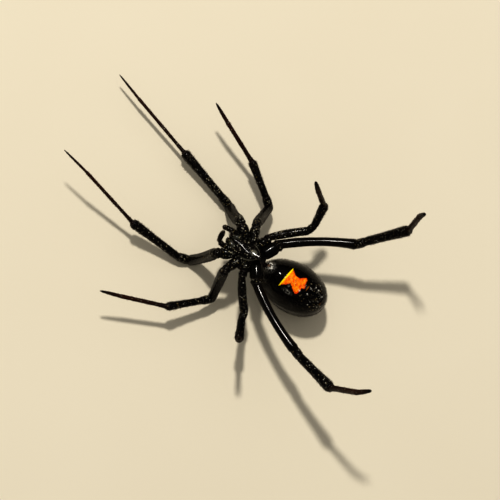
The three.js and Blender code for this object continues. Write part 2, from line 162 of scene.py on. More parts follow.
# Spinnerets: the moat round them, the base's outline, each pair's place beside the middle, radius
# and height, and the shape of a cone in shares of its length and radius
SPINNERETS_Y = -7.87
SPINNERETS_RADIUS = 0.62
MOAT = SPINNERETS_RADIUS + 0.18
SPINNERETS_BASE = ((-0.3, 0.5), (-0.25, 0.66), (-0.1, 0.7), (0.0, 0.66), (0.06, 0.5), (0.08, 0.2))
SPINNERET_PAIRS = (
    ((0.35, 0.33), 0.21, 0.6), ((0.46, -0.12), 0.17, 0.48), ((0.26, -0.47), 0.18, 0.56),
    ((0.12, -0.02), 0.12, 0.42),
)
CONE_SHAPE = (
    (0, 1), (0.3, 1.02), (0.55, 0.9), (0.6, 0.78), (0.66, 0.82), (0.88, 0.62), (1, 0.3), (1.01, 0.08),
)

# The mark on the belly, seen from above: its outline from the left end of its straight front
# edge, round by the rear, to the right end, and the width of the yellow along that edge
HOURGLASS = (
    (1.35, -4.62), (1.18, -4.69), (1.06, -4.91), (0.83, -5.16), (0.77, -5.41), (0.82, -5.69),
    (0.99, -5.93), (1.24, -6.25), (1.14, -6.48), (0.86, -6.51), (0.57, -6.54), (0.38, -6.7),
    (0.16, -6.68), (0.1, -6.49), (0.06, -6.4), (-0.2, -6.46), (-0.58, -6.39), (-0.75, -6.24),
    (-0.68, -6.05), (-0.5, -5.7), (-0.29, -5.47), (-0.2, -5.23), (-0.47, -5.02), (-0.69, -4.67),
    (-1.02, -4.38), (-0.32, -4.42), (0.32, -4.46), (0.93, -4.54),
)
FRONT_EDGE = ((-1.02, -4.38), (1.35, -4.62))
YELLOW_WIDTH = 0.13

# Small forms of the belly, each a bump with its centre, its reach in x and y and its height: the
# pits of three muscles, the pimples under two of the granules, which so stand higher, and three
# slow swellings
PIT_REACH = (0.09, 0.08)
PIMPLE_REACH = (0.09, 0.09)
SMALL_FORMS = (
    ((0.21, -5.52), PIT_REACH, -0.06), ((0.23, -4.5), PIT_REACH, -0.06), ((0.33, -6.35), PIT_REACH, -0.06),
    ((-0.01, -4.49), PIMPLE_REACH, 0.02), ((-0.25, -6.4), PIMPLE_REACH, 0.02),
    ((-0.345, -4.54), (0.51, 0.51), 0.041), ((-0.14, -3.43), (0.48, 0.48), 0.058),
    ((0.45, -4.41), (0.23, 0.23), 0.023),
)
# Granule bumps on the belly, each painted pale: painted glints where the light would catch them.
PAINTED_GLINT_GRANULES = (
    (-0.01, -4.5), (-0.25, -6.4), (0.67, -7.29), (0.62, -7.18), (1.0, -8.0), (-0.07, -7.27),
    (-0.4, -7.96), (0.03, -8.52), (0.1, -8.6), (0.7, -8.6), (1.04, -7.59),
)
GRANULE_REACH = (0.1, 0.1)
GRANULE_HEIGHT = 0.05

# Places of the belly's colouring, each with its reach and its strength: the amber stains behind
# the hourglass and behind the spinnerets, a pale speckled patch beside the mark, and a speckled one
# beside the epigynum. The specks of both are painted glints
STAINS = (((0.42, -6.95), (0.28, 0.06), 1), ((0.05, -8.88), (0.14, 0.1), 0.3))
HOLLOW_STAIN = (((0.04, EPIGYNUM_Y + 0.18), (0.13, 0.14), 0.3),)
PALE_PATCH = (((-0.98, -5.45), (0.2, 0.55), 1), ((-0.45, -5.25), (0.16, 0.14), 1))
SPECKLED = (((-1.0, -3.1), (0.5, 0.6), 0.7),)

# Legs: the lengths and greatest radii of the joints of each pair, where its hip starts on the
# thorax, and the pose as (heading, pitch) of each joint
JOINTS = ("coxa", "femur", "patella", "tibia", "metatarsus", "tarsus")
LENGTHS = {
    1: (1.9, 6.3, 1.5, 5.95, 7.25, 3.05),
    2: (1.95, 4.9, 1.25, 3.8, 4.9, 2.15),
    3: (1.5, 3.95, 0.9, 2.4, 3.2, 1.6),
    4: (2.05, 7.65, 1.15, 4.75, 5.0, 1.9),
}
RADII = {
    1: (0.6, 0.56, 0.48, 0.48, 0.175, 0.13),
    2: (0.53, 0.51, 0.445, 0.43, 0.225, 0.19),
    3: (0.5, 0.425, 0.39, 0.47, 0.27, 0.25),
    4: (0.7, 0.445, 0.485, 0.55, 0.295, 0.255),
}
ROOTS = {1: (0.98, 1.05, 6.45), 2: (1.1, 0.3, 6.42), 3: (1.0, -0.5, 6.42), 4: (0.6, -1.35, 6.45)}
POSE = {
    "left": {
        1: ((53.5, -6), (45, -67.5), (82, 40.5), (76, 3), (76, 3), (74.5, 3)),
        2: ((20.5, -8.5), (-1.5, -54), (57.5, 29.5), (57.5, 7), (70.5, 17.5), (68, 13)),
        3: ((-15, 2.5), (-45, 3.5), (-14.5, 37.5), (11, 36), (81, 65), (68.5, 59.5)),
        4: ((-23.5, 0), (-55, 6), (-43, 49), (-43.5, 31), (5.5, 82), (-86.5, 84.5)),
    },
    "right": {
        1: ((56, -4.5), (58.5, -71), (65.5, 29.5), (88, 18.5), (98.5, 22), (98.5, 5.5)),
        2: ((17.5, -7.5), (-14, -60), (40, 27.5), (42, 17.5), (65.5, 8.5), (66.5, 14)),
        3: ((-15, 3.5), (-43, -31.5), (-13.5, 17.5), (-25, 26.5), (6, 80), (5, 81)),
        4: ((-36, 4), (-63.5, 8.5), (-66.5, 30), (-74.5, 27.5), (-101, 63), (-125, 55.5)),
    },
}

# What differs from pair to pair: the radius at the stops of the femur and of the coxa, in shares
# of their greatest one, how granular they are at start and end, and how far the femur bows to the
# back and forwards. The trochanter's length is counted off the coxa's, and its radius is a share
# of the coxa's
FEMUR_STOPS = (0.03, 0.16, 0.36, 0.62, 0.85, 0.97)
FEMUR_SHAPE = {
    1: (0.93, 1.04, 1, 0.95, 0.94, 0.95),
    2: (0.92, 1.01, 1.01, 0.93, 0.88, 0.9),
    3: (0.85, 0.91, 1.01, 1.0, 0.99, 1.0),
    4: (1.0, 1.05, 1.0, 0.98, 1.08, 1.19),
}
# The grain of a joint sets its raised grains and the painted glints on them.
FEMUR_GRAIN = {1: (0.9, 0), 2: (0.8, 0), 3: (0.95, 0.55), 4: (0.2, 0)}
FEMUR_BOW = {1: (0.3, 0), 2: (0.25, 0), 3: (0.15, 0.08), 4: (0.09, 0.3)}
COXA_STOPS = (0.1, 0.3, 0.6, 0.9)
COXA_SHAPE = {
    1: (0.76, 0.9, 1, 0.94), 2: (0.76, 0.9, 1, 0.94), 3: (0.76, 0.9, 1, 0.94), 4: (0.93, 0.97, 1, 1),
}
COXA_GRAIN = {1: (1, 1), 2: (1, 1), 3: (1, 1), 4: (0.05, 0.05)}
TROCHANTER = 0.5
TROCHANTER_SHARE = 0.95

# The finish of a triangle is the number of the material that it has on its piece
SHELL, MEMBRANE = 0, 1
DOWN = np.array([0.0, 0.0, -1.0])

# Camera: the photograph looks down on the belly, turned in its own plane and tipped a little to
# the animal's right, from so far that a pixel is 0.1 mm at the height of the breastplate
PIXEL = 0.1
PHOTO_WIDTH = 500
VIEW_TURN = math.radians(54.5)
VIEW_TIP = math.radians(11)
VIEW_DISTANCE = 290
VIEW_HEIGHT = 7.2
BODY_PIXEL = (249.5, 250.5)
SENSOR = 36


def place_camera():
    """The image's right is e1 cos t - e2 sin t and its up e1 sin t + e2 cos t, with e1 the tipped x
    axis, e2 the y axis and t the turn."""
    tipped = Vector((math.cos(VIEW_TIP), 0, math.sin(VIEW_TIP)))
    ahead = Vector((0, 1, 0))
    towards = Vector((-math.sin(VIEW_TIP), 0, math.cos(VIEW_TIP)))
    right = tipped * math.cos(VIEW_TURN) - ahead * math.sin(VIEW_TURN)
    up = tipped * math.sin(VIEW_TURN) + ahead * math.cos(VIEW_TURN)
    aside = (PHOTO_WIDTH / 2 - BODY_PIXEL[0]) * PIXEL
    above = (BODY_PIXEL[1] - PHOTO_WIDTH / 2) * PIXEL
    target = Vector((-BELLY_LINE, -REST_Y, VIEW_HEIGHT)) + right * aside + up * above
    data = bpy.data.cameras.new("camera")
    data.sensor_width = SENSOR
    data.lens = SENSOR * VIEW_DISTANCE / (PHOTO_WIDTH * PIXEL)
    data.clip_start = 0.05
    data.clip_end = 5
    camera = bpy.data.objects.new("camera", data)
    turn = Matrix((right, up, towards)).transposed().to_4x4()
    camera.matrix_world = Matrix.Translation((target + towards * VIEW_DISTANCE) * MM) @ turn
    bpy.context.scene.collection.objects.link(camera)
    bpy.context.scene.camera = camera


# Surfaces

class Surface:
    """A closed skin: points, triangles, the finish of each triangle, and marks, which are numbers
    kept at each point. Most colour it: brown, grain, dusty, stain, tip, and hourglass and behind,
    which are distances from the mark. The others are for the bristles: bristle (their length),
    flow (their lie), chart (a place on the skin) and patch (a bristle's own place on the map)."""

    def __init__(self, points, triangles, finish=SHELL, **marks):
        self.points = points
        self.triangles = triangles
        self.finish = np.broadcast_to(finish, len(triangles))
        self.marks = {name: np.broadcast_to(value, (len(points), *np.shape(value)[1:]))
                      for name, value in marks.items()}


def unit(vectors):
    return vectors / np.linalg.norm(vectors, axis=-1, keepdims=True)


def stacked(*values):
    """One grid of points, or of other groups of numbers, out of a grid, row, column or number for
    each."""
    return np.stack(np.broadcast_arrays(*values), -1)


def full_turn(columns):
    """The angles of a ring, as a row."""
    return np.linspace(0, 2 * np.pi, columns, endpoint=False)[None, :]


def drawn_square(value, power):
    """A sine or cosine raised to a power, its sign kept: a power below 1 makes an oval squarer."""
    return np.sign(value) * np.abs(value)**power


def smoothstep(low, high, value):
    share = np.clip((value - low) / (high - low), 0, 1)
    return share * share * (3 - 2 * share)


def closed_skin(rings, finish=SHELL, **marks):
    """Skin through a grid of rings, rows by columns, with each end closed at its middle. Marks are
    grids of the same size. A skin whose volume comes out negative has its faces turned."""
    rows, columns = rings.shape[:2]
    points = np.concatenate([rings.reshape(-1, 3), rings[[0, -1]].mean(axis=1)])
    here = np.arange(rows * columns).reshape(rows, columns)
    beside = np.roll(here, -1, axis=1)
    quads = np.stack([here[:-1], beside[:-1], beside[1:], here[:-1], beside[1:], here[1:]], -1)
    first = np.stack([beside[0], here[0], np.full(columns, rows * columns)], -1)
    last = np.stack([here[-1], beside[-1], np.full(columns, rows * columns + 1)], -1)
    triangles = np.concatenate([quads.reshape(-1, 3), first, last])
    a, b, c = points[triangles].transpose(1, 0, 2)
    if (a * np.cross(b, c)).sum() < 0:
        triangles = triangles[:, ::-1]
    kept = {}
    for name, grid in marks.items():
        grid = np.broadcast_to(grid, (rows, columns, *np.shape(grid)[2:]))
        flat = grid.reshape(rows * columns, *grid.shape[2:])
        kept[name] = np.concatenate([flat, grid[[0, -1]].mean(axis=1)])
    return Surface(points, triangles, finish, **kept)


def join(skins):
    """One surface of many: points in a row, each skin's triangles counted on from the last."""
    starts = np.cumsum([0] + [len(skin.points) for skin in skins[:-1]])
    names = sorted(set().union(*(skin.marks for skin in skins)))
    shapes = {
        name: next(skin.marks[name].shape[1:] for skin in skins if name in skin.marks) for name in names
    }
    marks = {
        name: np.concatenate([
            skin.marks.get(name, np.zeros((len(skin.points), *shapes[name]))) for skin in skins
        ])
        for name in names
    }
    return Surface(
        np.concatenate([skin.points for skin in skins]),
        np.concatenate([skin.triangles + start for skin, start in zip(skins, starts)]),
        np.concatenate([skin.finish for skin in skins]),
        **marks,
    )


def ripple(points, size, seed, waves=24):
    """Even unevenness between about -1 and 1: many sine waves of one rough wavelength, in seeded
    directions, added up."""
    draw = np.random.default_rng(seed)
    heading = unit(draw.normal(size=(waves, 3)))
    pitch = 2 * np.pi / (size * draw.uniform(0.7, 1.4, waves))
    phase = draw.uniform(0, 2 * np.pi, waves)
    return np.sin(points @ (heading * pitch[:, None]).T + phase).sum(-1) / math.sqrt(waves)


def bump(x, y, centre, reach):
    """1 at its centre, a third at its reach and soon 0 beyond it, with a flat top:
    exp(-(dx^2 + dy^2)^2), with the distances in shares of the reach."""
    away = ((x - centre[0]) / reach[0])**2 + ((y - centre[1]) / reach[1])**2
    return np.exp(-away**2)


def bumps(x, y, spots):
    """Sum of bumps, each spot with its centre, its reach in x and y, and its height."""
    return sum(height * bump(x, y, centre, reach) for centre, reach, height in spots)


def grid_normals(rings, inside):
    """Outward normal at each point of a grid: the cross of its steps along and round."""
    along = np.gradient(rings, axis=0)
    around = np.roll(rings, -1, axis=1) - np.roll(rings, 1, axis=1)
    normal = unit(np.cross(along, around) + 1e-12)
    facing = np.sign(((rings - inside) * normal).sum(-1).mean())
    return normal * facing


def carried(start, bend, end, outline, columns, notch=0.0, span=(0, 1), finish=SHELL, **marks):
    """Tube carried along a curve: with s along it and a round it, a point is
    C(s - n(s)(1 - cos a)/2) + r(s)(cos a · back + sin a · side), where the curve is
    (1-t)²·start + 2t(1-t)·bend + t²·end, back is the animal's back made square to it, and n(s) cuts
    the belly side of its far end back by the notch. A mark runs evenly between its two numbers."""
    start, bend, end = (np.asarray(p, float) for p in (start, bend, end))
    length = np.linalg.norm(end - start)
    turn = full_turn(columns)
    s = outline[:, :1]
    cut = notch * smoothstep(length - 0.5, length, s)
    t = ((s - cut * (1 - np.cos(turn)) / 2) / length)[..., None]
    centre = (1 - t)**2 * start + 2 * t * (1 - t) * bend + t**2 * end
    heading = unit((1 - t) * (bend - start) + t * (end - bend))
    back = unit(DOWN - (heading @ DOWN)[..., None] * heading)
    side = np.cross(heading, back)
    radius = outline[:, 1, None, None]
    rings = centre + radius * (np.cos(turn)[..., None] * back + np.sin(turn)[..., None] * side)
    share = np.broadcast_to(np.clip(s / length, 0, 1), rings.shape[:2])
    along = span[0] + (span[1] - span[0]) * share
    chart = stacked(along, turn / (2 * np.pi))
    kept = {name: low + (high - low) * share for name, (low, high) in marks.items()}
    return closed_skin(rings, finish, flow=heading, chart=chart, **kept)


def pebble(centre, halves, turn=0.0, tip=0.0, squareness=1.0, rows=22, columns=32, **marks):
    """Rounded lump: a ball stretched to three half sizes, with its sines and cosines raised to a
    power below 1 where it is squarer, turned about z and tipped about x."""
    fall = np.linspace(0.02, np.pi - 0.02, rows)[:, None]
    around = full_turn(columns)
    level = drawn_square(np.sin(fall), squareness)
    shape = stacked(halves[0] * level * drawn_square(np.cos(around), squareness),
                    halves[1] * level * drawn_square(np.sin(around), squareness),
                    halves[2] * drawn_square(np.cos(fall), squareness))
    sin, cos = math.sin, math.cos
    tipped = np.array([[1, 0, 0], [0, cos(tip), -sin(tip)], [0, sin(tip), cos(tip)]])
    turned = np.array([[cos(turn), -sin(turn), 0], [sin(turn), cos(turn), 0], [0, 0, 1]])
    rings = shape @ (turned @ tipped).T + np.asarray(centre)
    chart = stacked(fall / np.pi, around / (2 * np.pi))
    return closed_skin(rings, flow=np.broadcast_to([0.0, 1.0, 0.0], rings.shape), chart=chart, **marks)


def make_piece(name, surface, materials, replaced=()):
    """Mesh object of a surface, with its marks kept as attributes, riding on the one body. Nothing
    of it is let below the floor, at the height 0."""
    points = surface.points - np.array([BELLY_LINE, REST_Y, 0])
    points[:, 2] = np.maximum(points[:, 2], 0)
    mesh = bpy.data.meshes.new(name)
    mesh.vertices.add(len(points))
    mesh.vertices.foreach_set("co", (points * MM).astype(np.float32).ravel())
    corners = np.ascontiguousarray(surface.triangles, dtype=np.int32)
    mesh.loops.add(corners.size)
    mesh.loops.foreach_set("vertex_index", corners.ravel())
    mesh.polygons.add(len(corners))
    mesh.polygons.foreach_set("loop_start", np.arange(0, corners.size, 3, dtype=np.int32))
    mesh.polygons.foreach_set("material_index", surface.finish.astype(np.int32))
    mesh.polygons.foreach_set("use_smooth", np.ones(len(corners), bool))
    mesh.update(calc_edges=True)
    for mark, values in surface.marks.items():
        if values.ndim == 1:
            attribute = mesh.attributes.new(mark, "FLOAT", "POINT")
            attribute.data.foreach_set("value", values.astype(np.float32))
    if "patch" in surface.marks:
        layer = mesh.uv_layers.new(name="OFBake")
        layer.data.foreach_set("uv", surface.marks["patch"][corners].astype(np.float32).ravel())
    for material in materials:
        mesh.materials.append(material)
    piece = bpy.data.objects.new(name, mesh)
    bpy.context.scene.collection.objects.link(piece)
    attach(piece, "root")
    if replaced:
        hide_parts(*replaced)
    return piece


# Bristles

# A bristle's radius at its root, the length below which none grows, how many there are, and the
# side of a bristle's patch on the map, in shares of the map's side
BRISTLE_RADIUS = 0.013
ABDOMEN_BRISTLE_RADIUS = 0.009
SHORTEST_BRISTLE = 0.02
BRISTLES_PER_MM = 110
THORAX_BRISTLES = 3500
ABDOMEN_BRISTLES = 7000
PATCH = 0.003


def bristles(skin, count, seed, lean=35, spread=14, radius=BRISTLE_RADIUS):
    """Three-sided tapering bristles. Each is rooted on a triangle drawn by area, leaves the skin at
    about the angle `lean` towards the mark flow, strays to the sides by `spread`, and bends flatter
    halfway along. Real ones are finer and more. A bristle's patch of the map lies at its root's
    place on the skin's own chart, and one that would touch the floor is left out."""
    draw = np.random.default_rng(seed)
    corners = skin.points[skin.triangles]
    square = np.cross(corners[:, 1] - corners[:, 0], corners[:, 2] - corners[:, 0])
    size = np.linalg.norm(square, axis=1)
    long = skin.marks["bristle"][skin.triangles].mean(axis=1)
    weight = size * (long > SHORTEST_BRISTLE)
    chosen = draw.choice(len(weight), count, p=weight / weight.sum())
    mix = draw.dirichlet((1, 1, 1), count)
    root = (corners[chosen] * mix[..., None]).sum(axis=1)
    normal = square[chosen] / size[chosen, None]
    flow = skin.marks["flow"][skin.triangles[chosen, 0]]
    flow = unit(flow - (flow * normal).sum(-1, keepdims=True) * normal)
    stray = np.radians(draw.normal(0, spread, count))[:, None]
    flow = np.cos(stray) * flow + np.sin(stray) * np.cross(normal, flow)
    side = np.cross(normal, flow)
    rise = np.radians(lean * draw.uniform(0.6, 1.4, count))[:, None]
    reach = (long[chosen] * draw.uniform(0.55, 1.25, count))[:, None]
    middle = root + reach / 2 * (np.cos(rise) * flow + np.sin(rise) * normal)
    tip = middle + reach / 2 * (np.cos(rise / 2) * flow + np.sin(rise / 2) * normal)
    thick = radius * np.sqrt(reach / reach.mean())
    corner = np.radians([90, 210, 330])[:, None]
    ring = thick[..., None] * (side[:, None] * np.cos(corner) + normal[:, None] * np.sin(corner))
    base = (root - thick * normal)[:, None] + ring
    waist = middle[:, None] + 0.65 * ring
    points = np.concatenate([base, waist, tip[:, None]], axis=1)
    clear = points[:, :, 2].min(axis=1) > radius
    points = points[clear]
    faces = np.array([(0, 2, 1), (0, 1, 4), (0, 4, 3), (1, 2, 5), (1, 5, 4), (2, 0, 3), (2, 3, 5),
                      (3, 4, 6), (4, 5, 6), (5, 3, 6)])
    triangles = (faces + points.shape[1] * np.arange(len(points))[:, None, None]).reshape(-1, 3)
    share = np.array([0, 0, 0, 0.5, 0.5, 0.5, 1])
    local = np.array([(-1, -1), (0, -1), (1, -1), (-0.7, 0), (0, 0.1), (0.7, 0), (0, 1)]) * PATCH / 2
    chart = skin.marks["chart"][skin.triangles[chosen, 0]][clear]
    patch = np.clip(chart, PATCH, 1 - PATCH)[:, None] + local
    return Surface(points.reshape(-1, 3), triangles, tip=np.tile(share, len(points)),
                   patch=patch.reshape(-1, 2))


# Legs

# Shape of each joint of a leg: its body, which is its radius at shares of its length, and the
# radius of its rim, both in shares of its greatest radius; the notch that its belly side is cut
# back by; and from its start to its end its colour from black to brown, how granular it is and how
# long its bristles are. The coxa and the femur of each pair have their own shape and grain.
# How granular a joint is sets its raised grains and the painted glints on them.
SHAPES = {
    "coxa": dict(rim=0.9, notch=0.05, brown=(0.0, 0.05), bristle=(0.1, 0.12)),
    "trochanter": dict(body=((0.2, 0.86), (0.5, 0.96), (0.8, 0.92)), rim=0.88, notch=0.08,
                       brown=(0.05, 0.08), grain=(1, 1), bristle=(0.1, 0.1)),
    "femur": dict(notch=0.14, brown=(0.1, 0.05), bristle=(0.12, 0.17)),
    "patella": dict(body=((0.15, 0.96), (0.45, 1.0), (0.8, 0.95)), rim=0.93, notch=0.08,
                    brown=(0.02, 0.05), grain=(0.85, 0.85), bristle=(0.14, 0.17)),
    "tibia": dict(body=((0.04, 0.8), (0.2, 0.82), (0.45, 0.84), (0.6, 0.88), (0.8, 0.965), (0.95, 1.0)),
                  rim=0.99, notch=0.1, brown=(0.0, 0.1), grain=(0.55, 0.65), bristle=(0.18, 0.25)),
    "metatarsus": dict(body=((0.03, 1.2), (0.1, 1.06), (0.5, 0.98), (0.9, 0.95), (0.97, 1.0)),
                       rim=0.97, notch=0.03, brown=(0.2, 0.8), grain=(0.5, 0.5), bristle=(0.18, 0.16)),
    "tarsus": dict(body=((0.04, 1.0), (0.3, 0.98), (0.65, 0.82), (0.93, 0.6)), rim=0.5, notch=0,
                   brown=(0.7, 0.0), grain=(0.5, 0.3), bristle=(0.15, 0.12)),
}
LEG_COLUMNS = 28
LEG_STEP = 0.07

# A joint starts as a ball, as large as a share of the rim before it, and ends in a rim that turns
# in, or in a rounded tip. Each outline has its distances and radii in shares of the ball's or the
# rim's radius. Where no joint comes before, the share is taken of a share of the joint itself
BALL_SHARE = 0.84
HIP_SHARE = 0.8
BALL = ((-0.99, 0.1), (-0.86, 0.5), (-0.5, 0.87), (0, 1))
OPEN_END = ((-0.4, 1), (-0.14, 0.99), (0, 0.93), (-0.02, 0.83), (-0.3, 0.68))
ROUNDED_TIP = ((-0.3, 0.8), (0, 0.3), (0.05, 0.08))
MEMBRANE_LENGTH = 0.1
MEMBRANE_FOLDS = (
    (-0.09, 0.4), (-0.06, 0.84), (-0.025, 0.92), (0.0, 0.84), (0.03, 0.92), (0.06, 0.84), (0.09, 0.4),
)

# Claws of a foot: how far beside its middle in radii, and the size; and a claw's outline
CLAWS = ((-0.6, 1), (0.6, 1), (0, 0.7))
CLAW_OUTLINE = ((0, 0.03), (0.1, 0.024), (0.19, 0.012), (0.23, 0.003))


def leg_joints(side, pair):
    """Joints in space: each is the last one plus its length along (cos h cos p, sin h cos p, sin p),
    with h its heading and p its pitch, and x turned over on the right."""
    sign = 1 if side == "left" else -1
    x, y, z = ROOTS[pair]
    joints = [np.array([sign * x, y, z])]
    for length, angles in zip(LENGTHS[pair], POSE[side][pair]):
        heading, pitch = np.radians(angles)
        level = math.cos(pitch)
        step = np.array([sign * math.cos(heading) * level, math.sin(heading) * level, math.sin(pitch)])
        joints.append(joints[-1] + length * step)
    return joints


def swelling(share, stations):
    """Radius at each share: cubic pieces through the stations with their mean slopes."""
    at, radius = np.array(stations).T
    slope = np.gradient(radius, at)
    k = np.clip(np.searchsorted(at, share) - 1, 0, len(at) - 2)
    gap = at[k + 1] - at[k]
    t = (share - at[k]) / gap
    return ((2 * t**3 - 3 * t**2 + 1) * radius[k] + (t**3 - 2 * t**2 + t) * gap * slope[k]
            + (3 * t**2 - 2 * t**3) * radius[k + 1] + (t**3 - t**2) * gap * slope[k + 1])


def rounded_line(stations, step=LEG_STEP, passes=2):
    """Straight spans between stations, divided by the step, with their corners averaged away."""
    stations = np.asarray(stations, float)
    spans = np.linalg.norm(np.diff(stations, axis=0), axis=1)
    counts = np.maximum(2, np.ceil(spans / step)).astype(int)
    line = np.concatenate([p + (q - p) * np.arange(n)[:, None] / n
                           for p, q, n in zip(stations[:-1], stations[1:], counts)] + [stations[-1:]])
    for _ in range(passes):
        line[1:-1] = (line[:-2] + 2 * line[1:-1] + line[2:]) / 4
    return line


def joint_outline(length, start, body, rim, closed_tip=False):
    """Distance and radius along one joint: a round start about the joint before, the swelling of
    its body, and a rim that turns back into its open end, or a rounded tip."""
    head = start * np.array(BALL)
    share = np.linspace(body[0][0], body[-1][0], 12)
    middle = np.stack([share * length, swelling(share, body)], -1)
    tail = np.array([length, 0]) + rim * np.array(ROUNDED_TIP if closed_tip else OPEN_END)
    return rounded_line(np.concatenate([head, middle, tail]))


def membrane_ring(joint, ahead, radius):
    """Soft folded ring in a joint: a short tube of three folds, square to the joint before it."""
    outline = rounded_line(np.array(MEMBRANE_FOLDS) * (1, radius), 0.02, 1)
    end = joint + MEMBRANE_LENGTH * ahead
    return carried(joint, (joint + end) / 2, end, outline, LEG_COLUMNS, finish=MEMBRANE, bristle=(0, 0),
                   brown=(0.5, 0.5))


def femur_bend(start, end, pair):
    """Control point of the femur's curve: twice its bow away from the middle of its chord."""
    along = unit(end - start)
    low, forward = FEMUR_BOW[pair]
    down = unit(DOWN - (along @ DOWN) * along)
    ahead = unit(np.array([0, 1, 0]) - along[1] * along)
    return (start + end) / 2 + 2 * low * down + 2 * forward * ahead


def claws(tip, ahead, radius):
    """Two curved claws side by side and a small one between them, drawn out and down."""
    back = unit(DOWN - (ahead @ DOWN) * ahead)
    side = np.cross(ahead, back)
    skins = []
    for aside, size in CLAWS:
        root = tip - 0.06 * ahead + aside * radius * side
        end = root + 0.2 * size * ahead - 0.09 * size * back + 0.02 * aside * side
        bend = root + 0.15 * size * ahead + 0.05 * size * back
        outline = rounded_line(np.array(CLAW_OUTLINE) * (size, 1), 0.02)
        skins.append(carried(root, bend, end, outline, 8))
    return skins


def leg(side, pair):
    """Surfaces of one leg from its hip to its ankle, of its foot, and of its claws."""
    joints = leg_joints(side, pair)
    radii = dict(zip(JOINTS, RADII[pair]))
    radii["trochanter"] = radii["coxa"] * TROCHANTER_SHARE
    hip = joints[1] + (joints[0] - joints[1]) * TROCHANTER / LENGTHS[pair][0]
    stops = [joints[0], hip, *joints[1:]]
    total = sum(LENGTHS[pair])
    walked = 0.0
    parts = {"leg": [], "foot": []}
    before = HIP_SHARE * radii["coxa"]
    own = {
        "coxa": dict(body=tuple(zip(COXA_STOPS, COXA_SHAPE[pair])), grain=COXA_GRAIN[pair]),
        "femur": dict(body=tuple(zip(FEMUR_STOPS, FEMUR_SHAPE[pair])), rim=FEMUR_SHAPE[pair][-1],
                      grain=FEMUR_GRAIN[pair]),
    }
    for name, start, end in zip(SHAPES, stops[:-1], stops[1:]):
        shape = {**SHAPES[name], **own.get(name, {})}
        radius = radii[name]
        length = np.linalg.norm(end - start)
        bend = femur_bend(start, end, pair) if name == "femur" else (start + end) / 2
        body = [(share, factor * radius) for share, factor in shape["body"]]
        rim = shape["rim"] * radius
        outline = joint_outline(length, BALL_SHARE * before, body, rim, name == "tarsus")
        span = (walked / total, (walked + length) / total)
        group = parts["foot" if name in ("metatarsus", "tarsus") else "leg"]
        group.append(carried(start, bend, end, outline, LEG_COLUMNS, shape["notch"], span,
                             brown=shape["brown"], grain=shape["grain"], bristle=shape["bristle"]))
        if name != "tarsus":
            group.append(membrane_ring(end, unit(end - bend), rim))
        before = rim
        walked += length
    ahead = unit(joints[-1] - joints[-2])
    return join(parts["leg"]), join(parts["foot"]), join(claws(joints[-1], ahead, 0.5 * before))


# Head and thorax

def carapace_size(y):
    """Half width, depth below the rim and rise above it at y: a round back end, the root of
    1 - (1 - share)^2 over its length, a head that narrows smoothly along the neck, and a blunt
    front, 1 - (1 - share)^2.6."""
    back = np.clip((y - CARAPACE_BACK) / ROUNDED_BACK, 0, 1)
    front = np.clip((CARAPACE_FRONT - y) / ROUNDED_FRONT, 0, 1)
    neck = smoothstep(*NECK, y)
    ends = np.sqrt(1 - (1 - back)**2) * (1 - (1 - front)**2.6)
    half = (CARAPACE_HALF + (HEAD_HALF - CARAPACE_HALF) * neck) * ends
    down = (CARAPACE_RIM - CARAPACE_LOW) * (1 - 0.12 * (1 - neck)) * (0.35 + 0.65 * ends)
    return half, down, CARAPACE_RISE * ends


def carapace_point(y, turn):
    """(half cos a, y, rim + depth sin a), with the depth below the rim or the rise above it."""
    half, down, up = carapace_size(y)
    height = np.where(np.sin(turn) < 0, down, up)
    return stacked(half * np.cos(turn), y, CARAPACE_RIM + height * np.sin(turn))


def carapace_skin():
    """Oval sections across y, pressed in along the fovea, the neck groove and three pairs of rays,
    and raised in a thin edge along the rim. What lies inside the rim is membrane."""
    rows, columns = 120, 180
    share = np.linspace(0.02, 0.98, rows)[:, None]
    y = CARAPACE_BACK + (CARAPACE_FRONT - CARAPACE_BACK) * (0.5 - 0.5 * np.cos(np.pi * share))
    turn = full_turn(columns)
    rings = carapace_point(y, turn)
    x, z = rings[..., 0], rings[..., 2]
    normal = grid_normals(rings, np.array([0, 0.1, 5.4]))
    below = smoothstep(0, 0.25, CARAPACE_RIM - z)
    fovea = bump(x, y, (0, FOVEA_Y), (0.3, 0.12))
    neck_groove = np.exp(-((np.abs(x) - 0.25 - 0.6 * (y + 0.35)) / 0.09)**2) * smoothstep(-0.4, 0, y)
    rays = sum(np.exp(-((y - FOVEA_Y - slope * np.abs(x)) / 0.08)**2) for slope in RAY_SLOPES)
    rays = rays * smoothstep(0.3, 0.6, np.abs(x)) * smoothstep(1.7, 1.2, np.abs(x))
    press = below * (FOVEA_DEPTH * fovea + NECK_GROOVE_DEPTH * neck_groove + RAY_DEPTH * rays)
    edge = RIM_EDGE * np.exp(-((z - CARAPACE_RIM + 0.03) / 0.05)**2)
    rings = rings + normal * (edge - press + 0.008 * ripple(rings, 0.35, 3))[..., None]
    flow = np.broadcast_to([0.0, 1.0, 0.0], rings.shape)
    chart = stacked(share, turn / (2 * np.pi))
    skin = closed_skin(rings, flow=flow, chart=chart, bristle=0.14 * below, brown=0.08 * below, grain=1.0)
    above = skin.points[skin.triangles][:, :, 2].mean(axis=1) > CARAPACE_RIM + 0.07
    skin.finish = np.where(above, MEMBRANE, SHELL)
    return skin


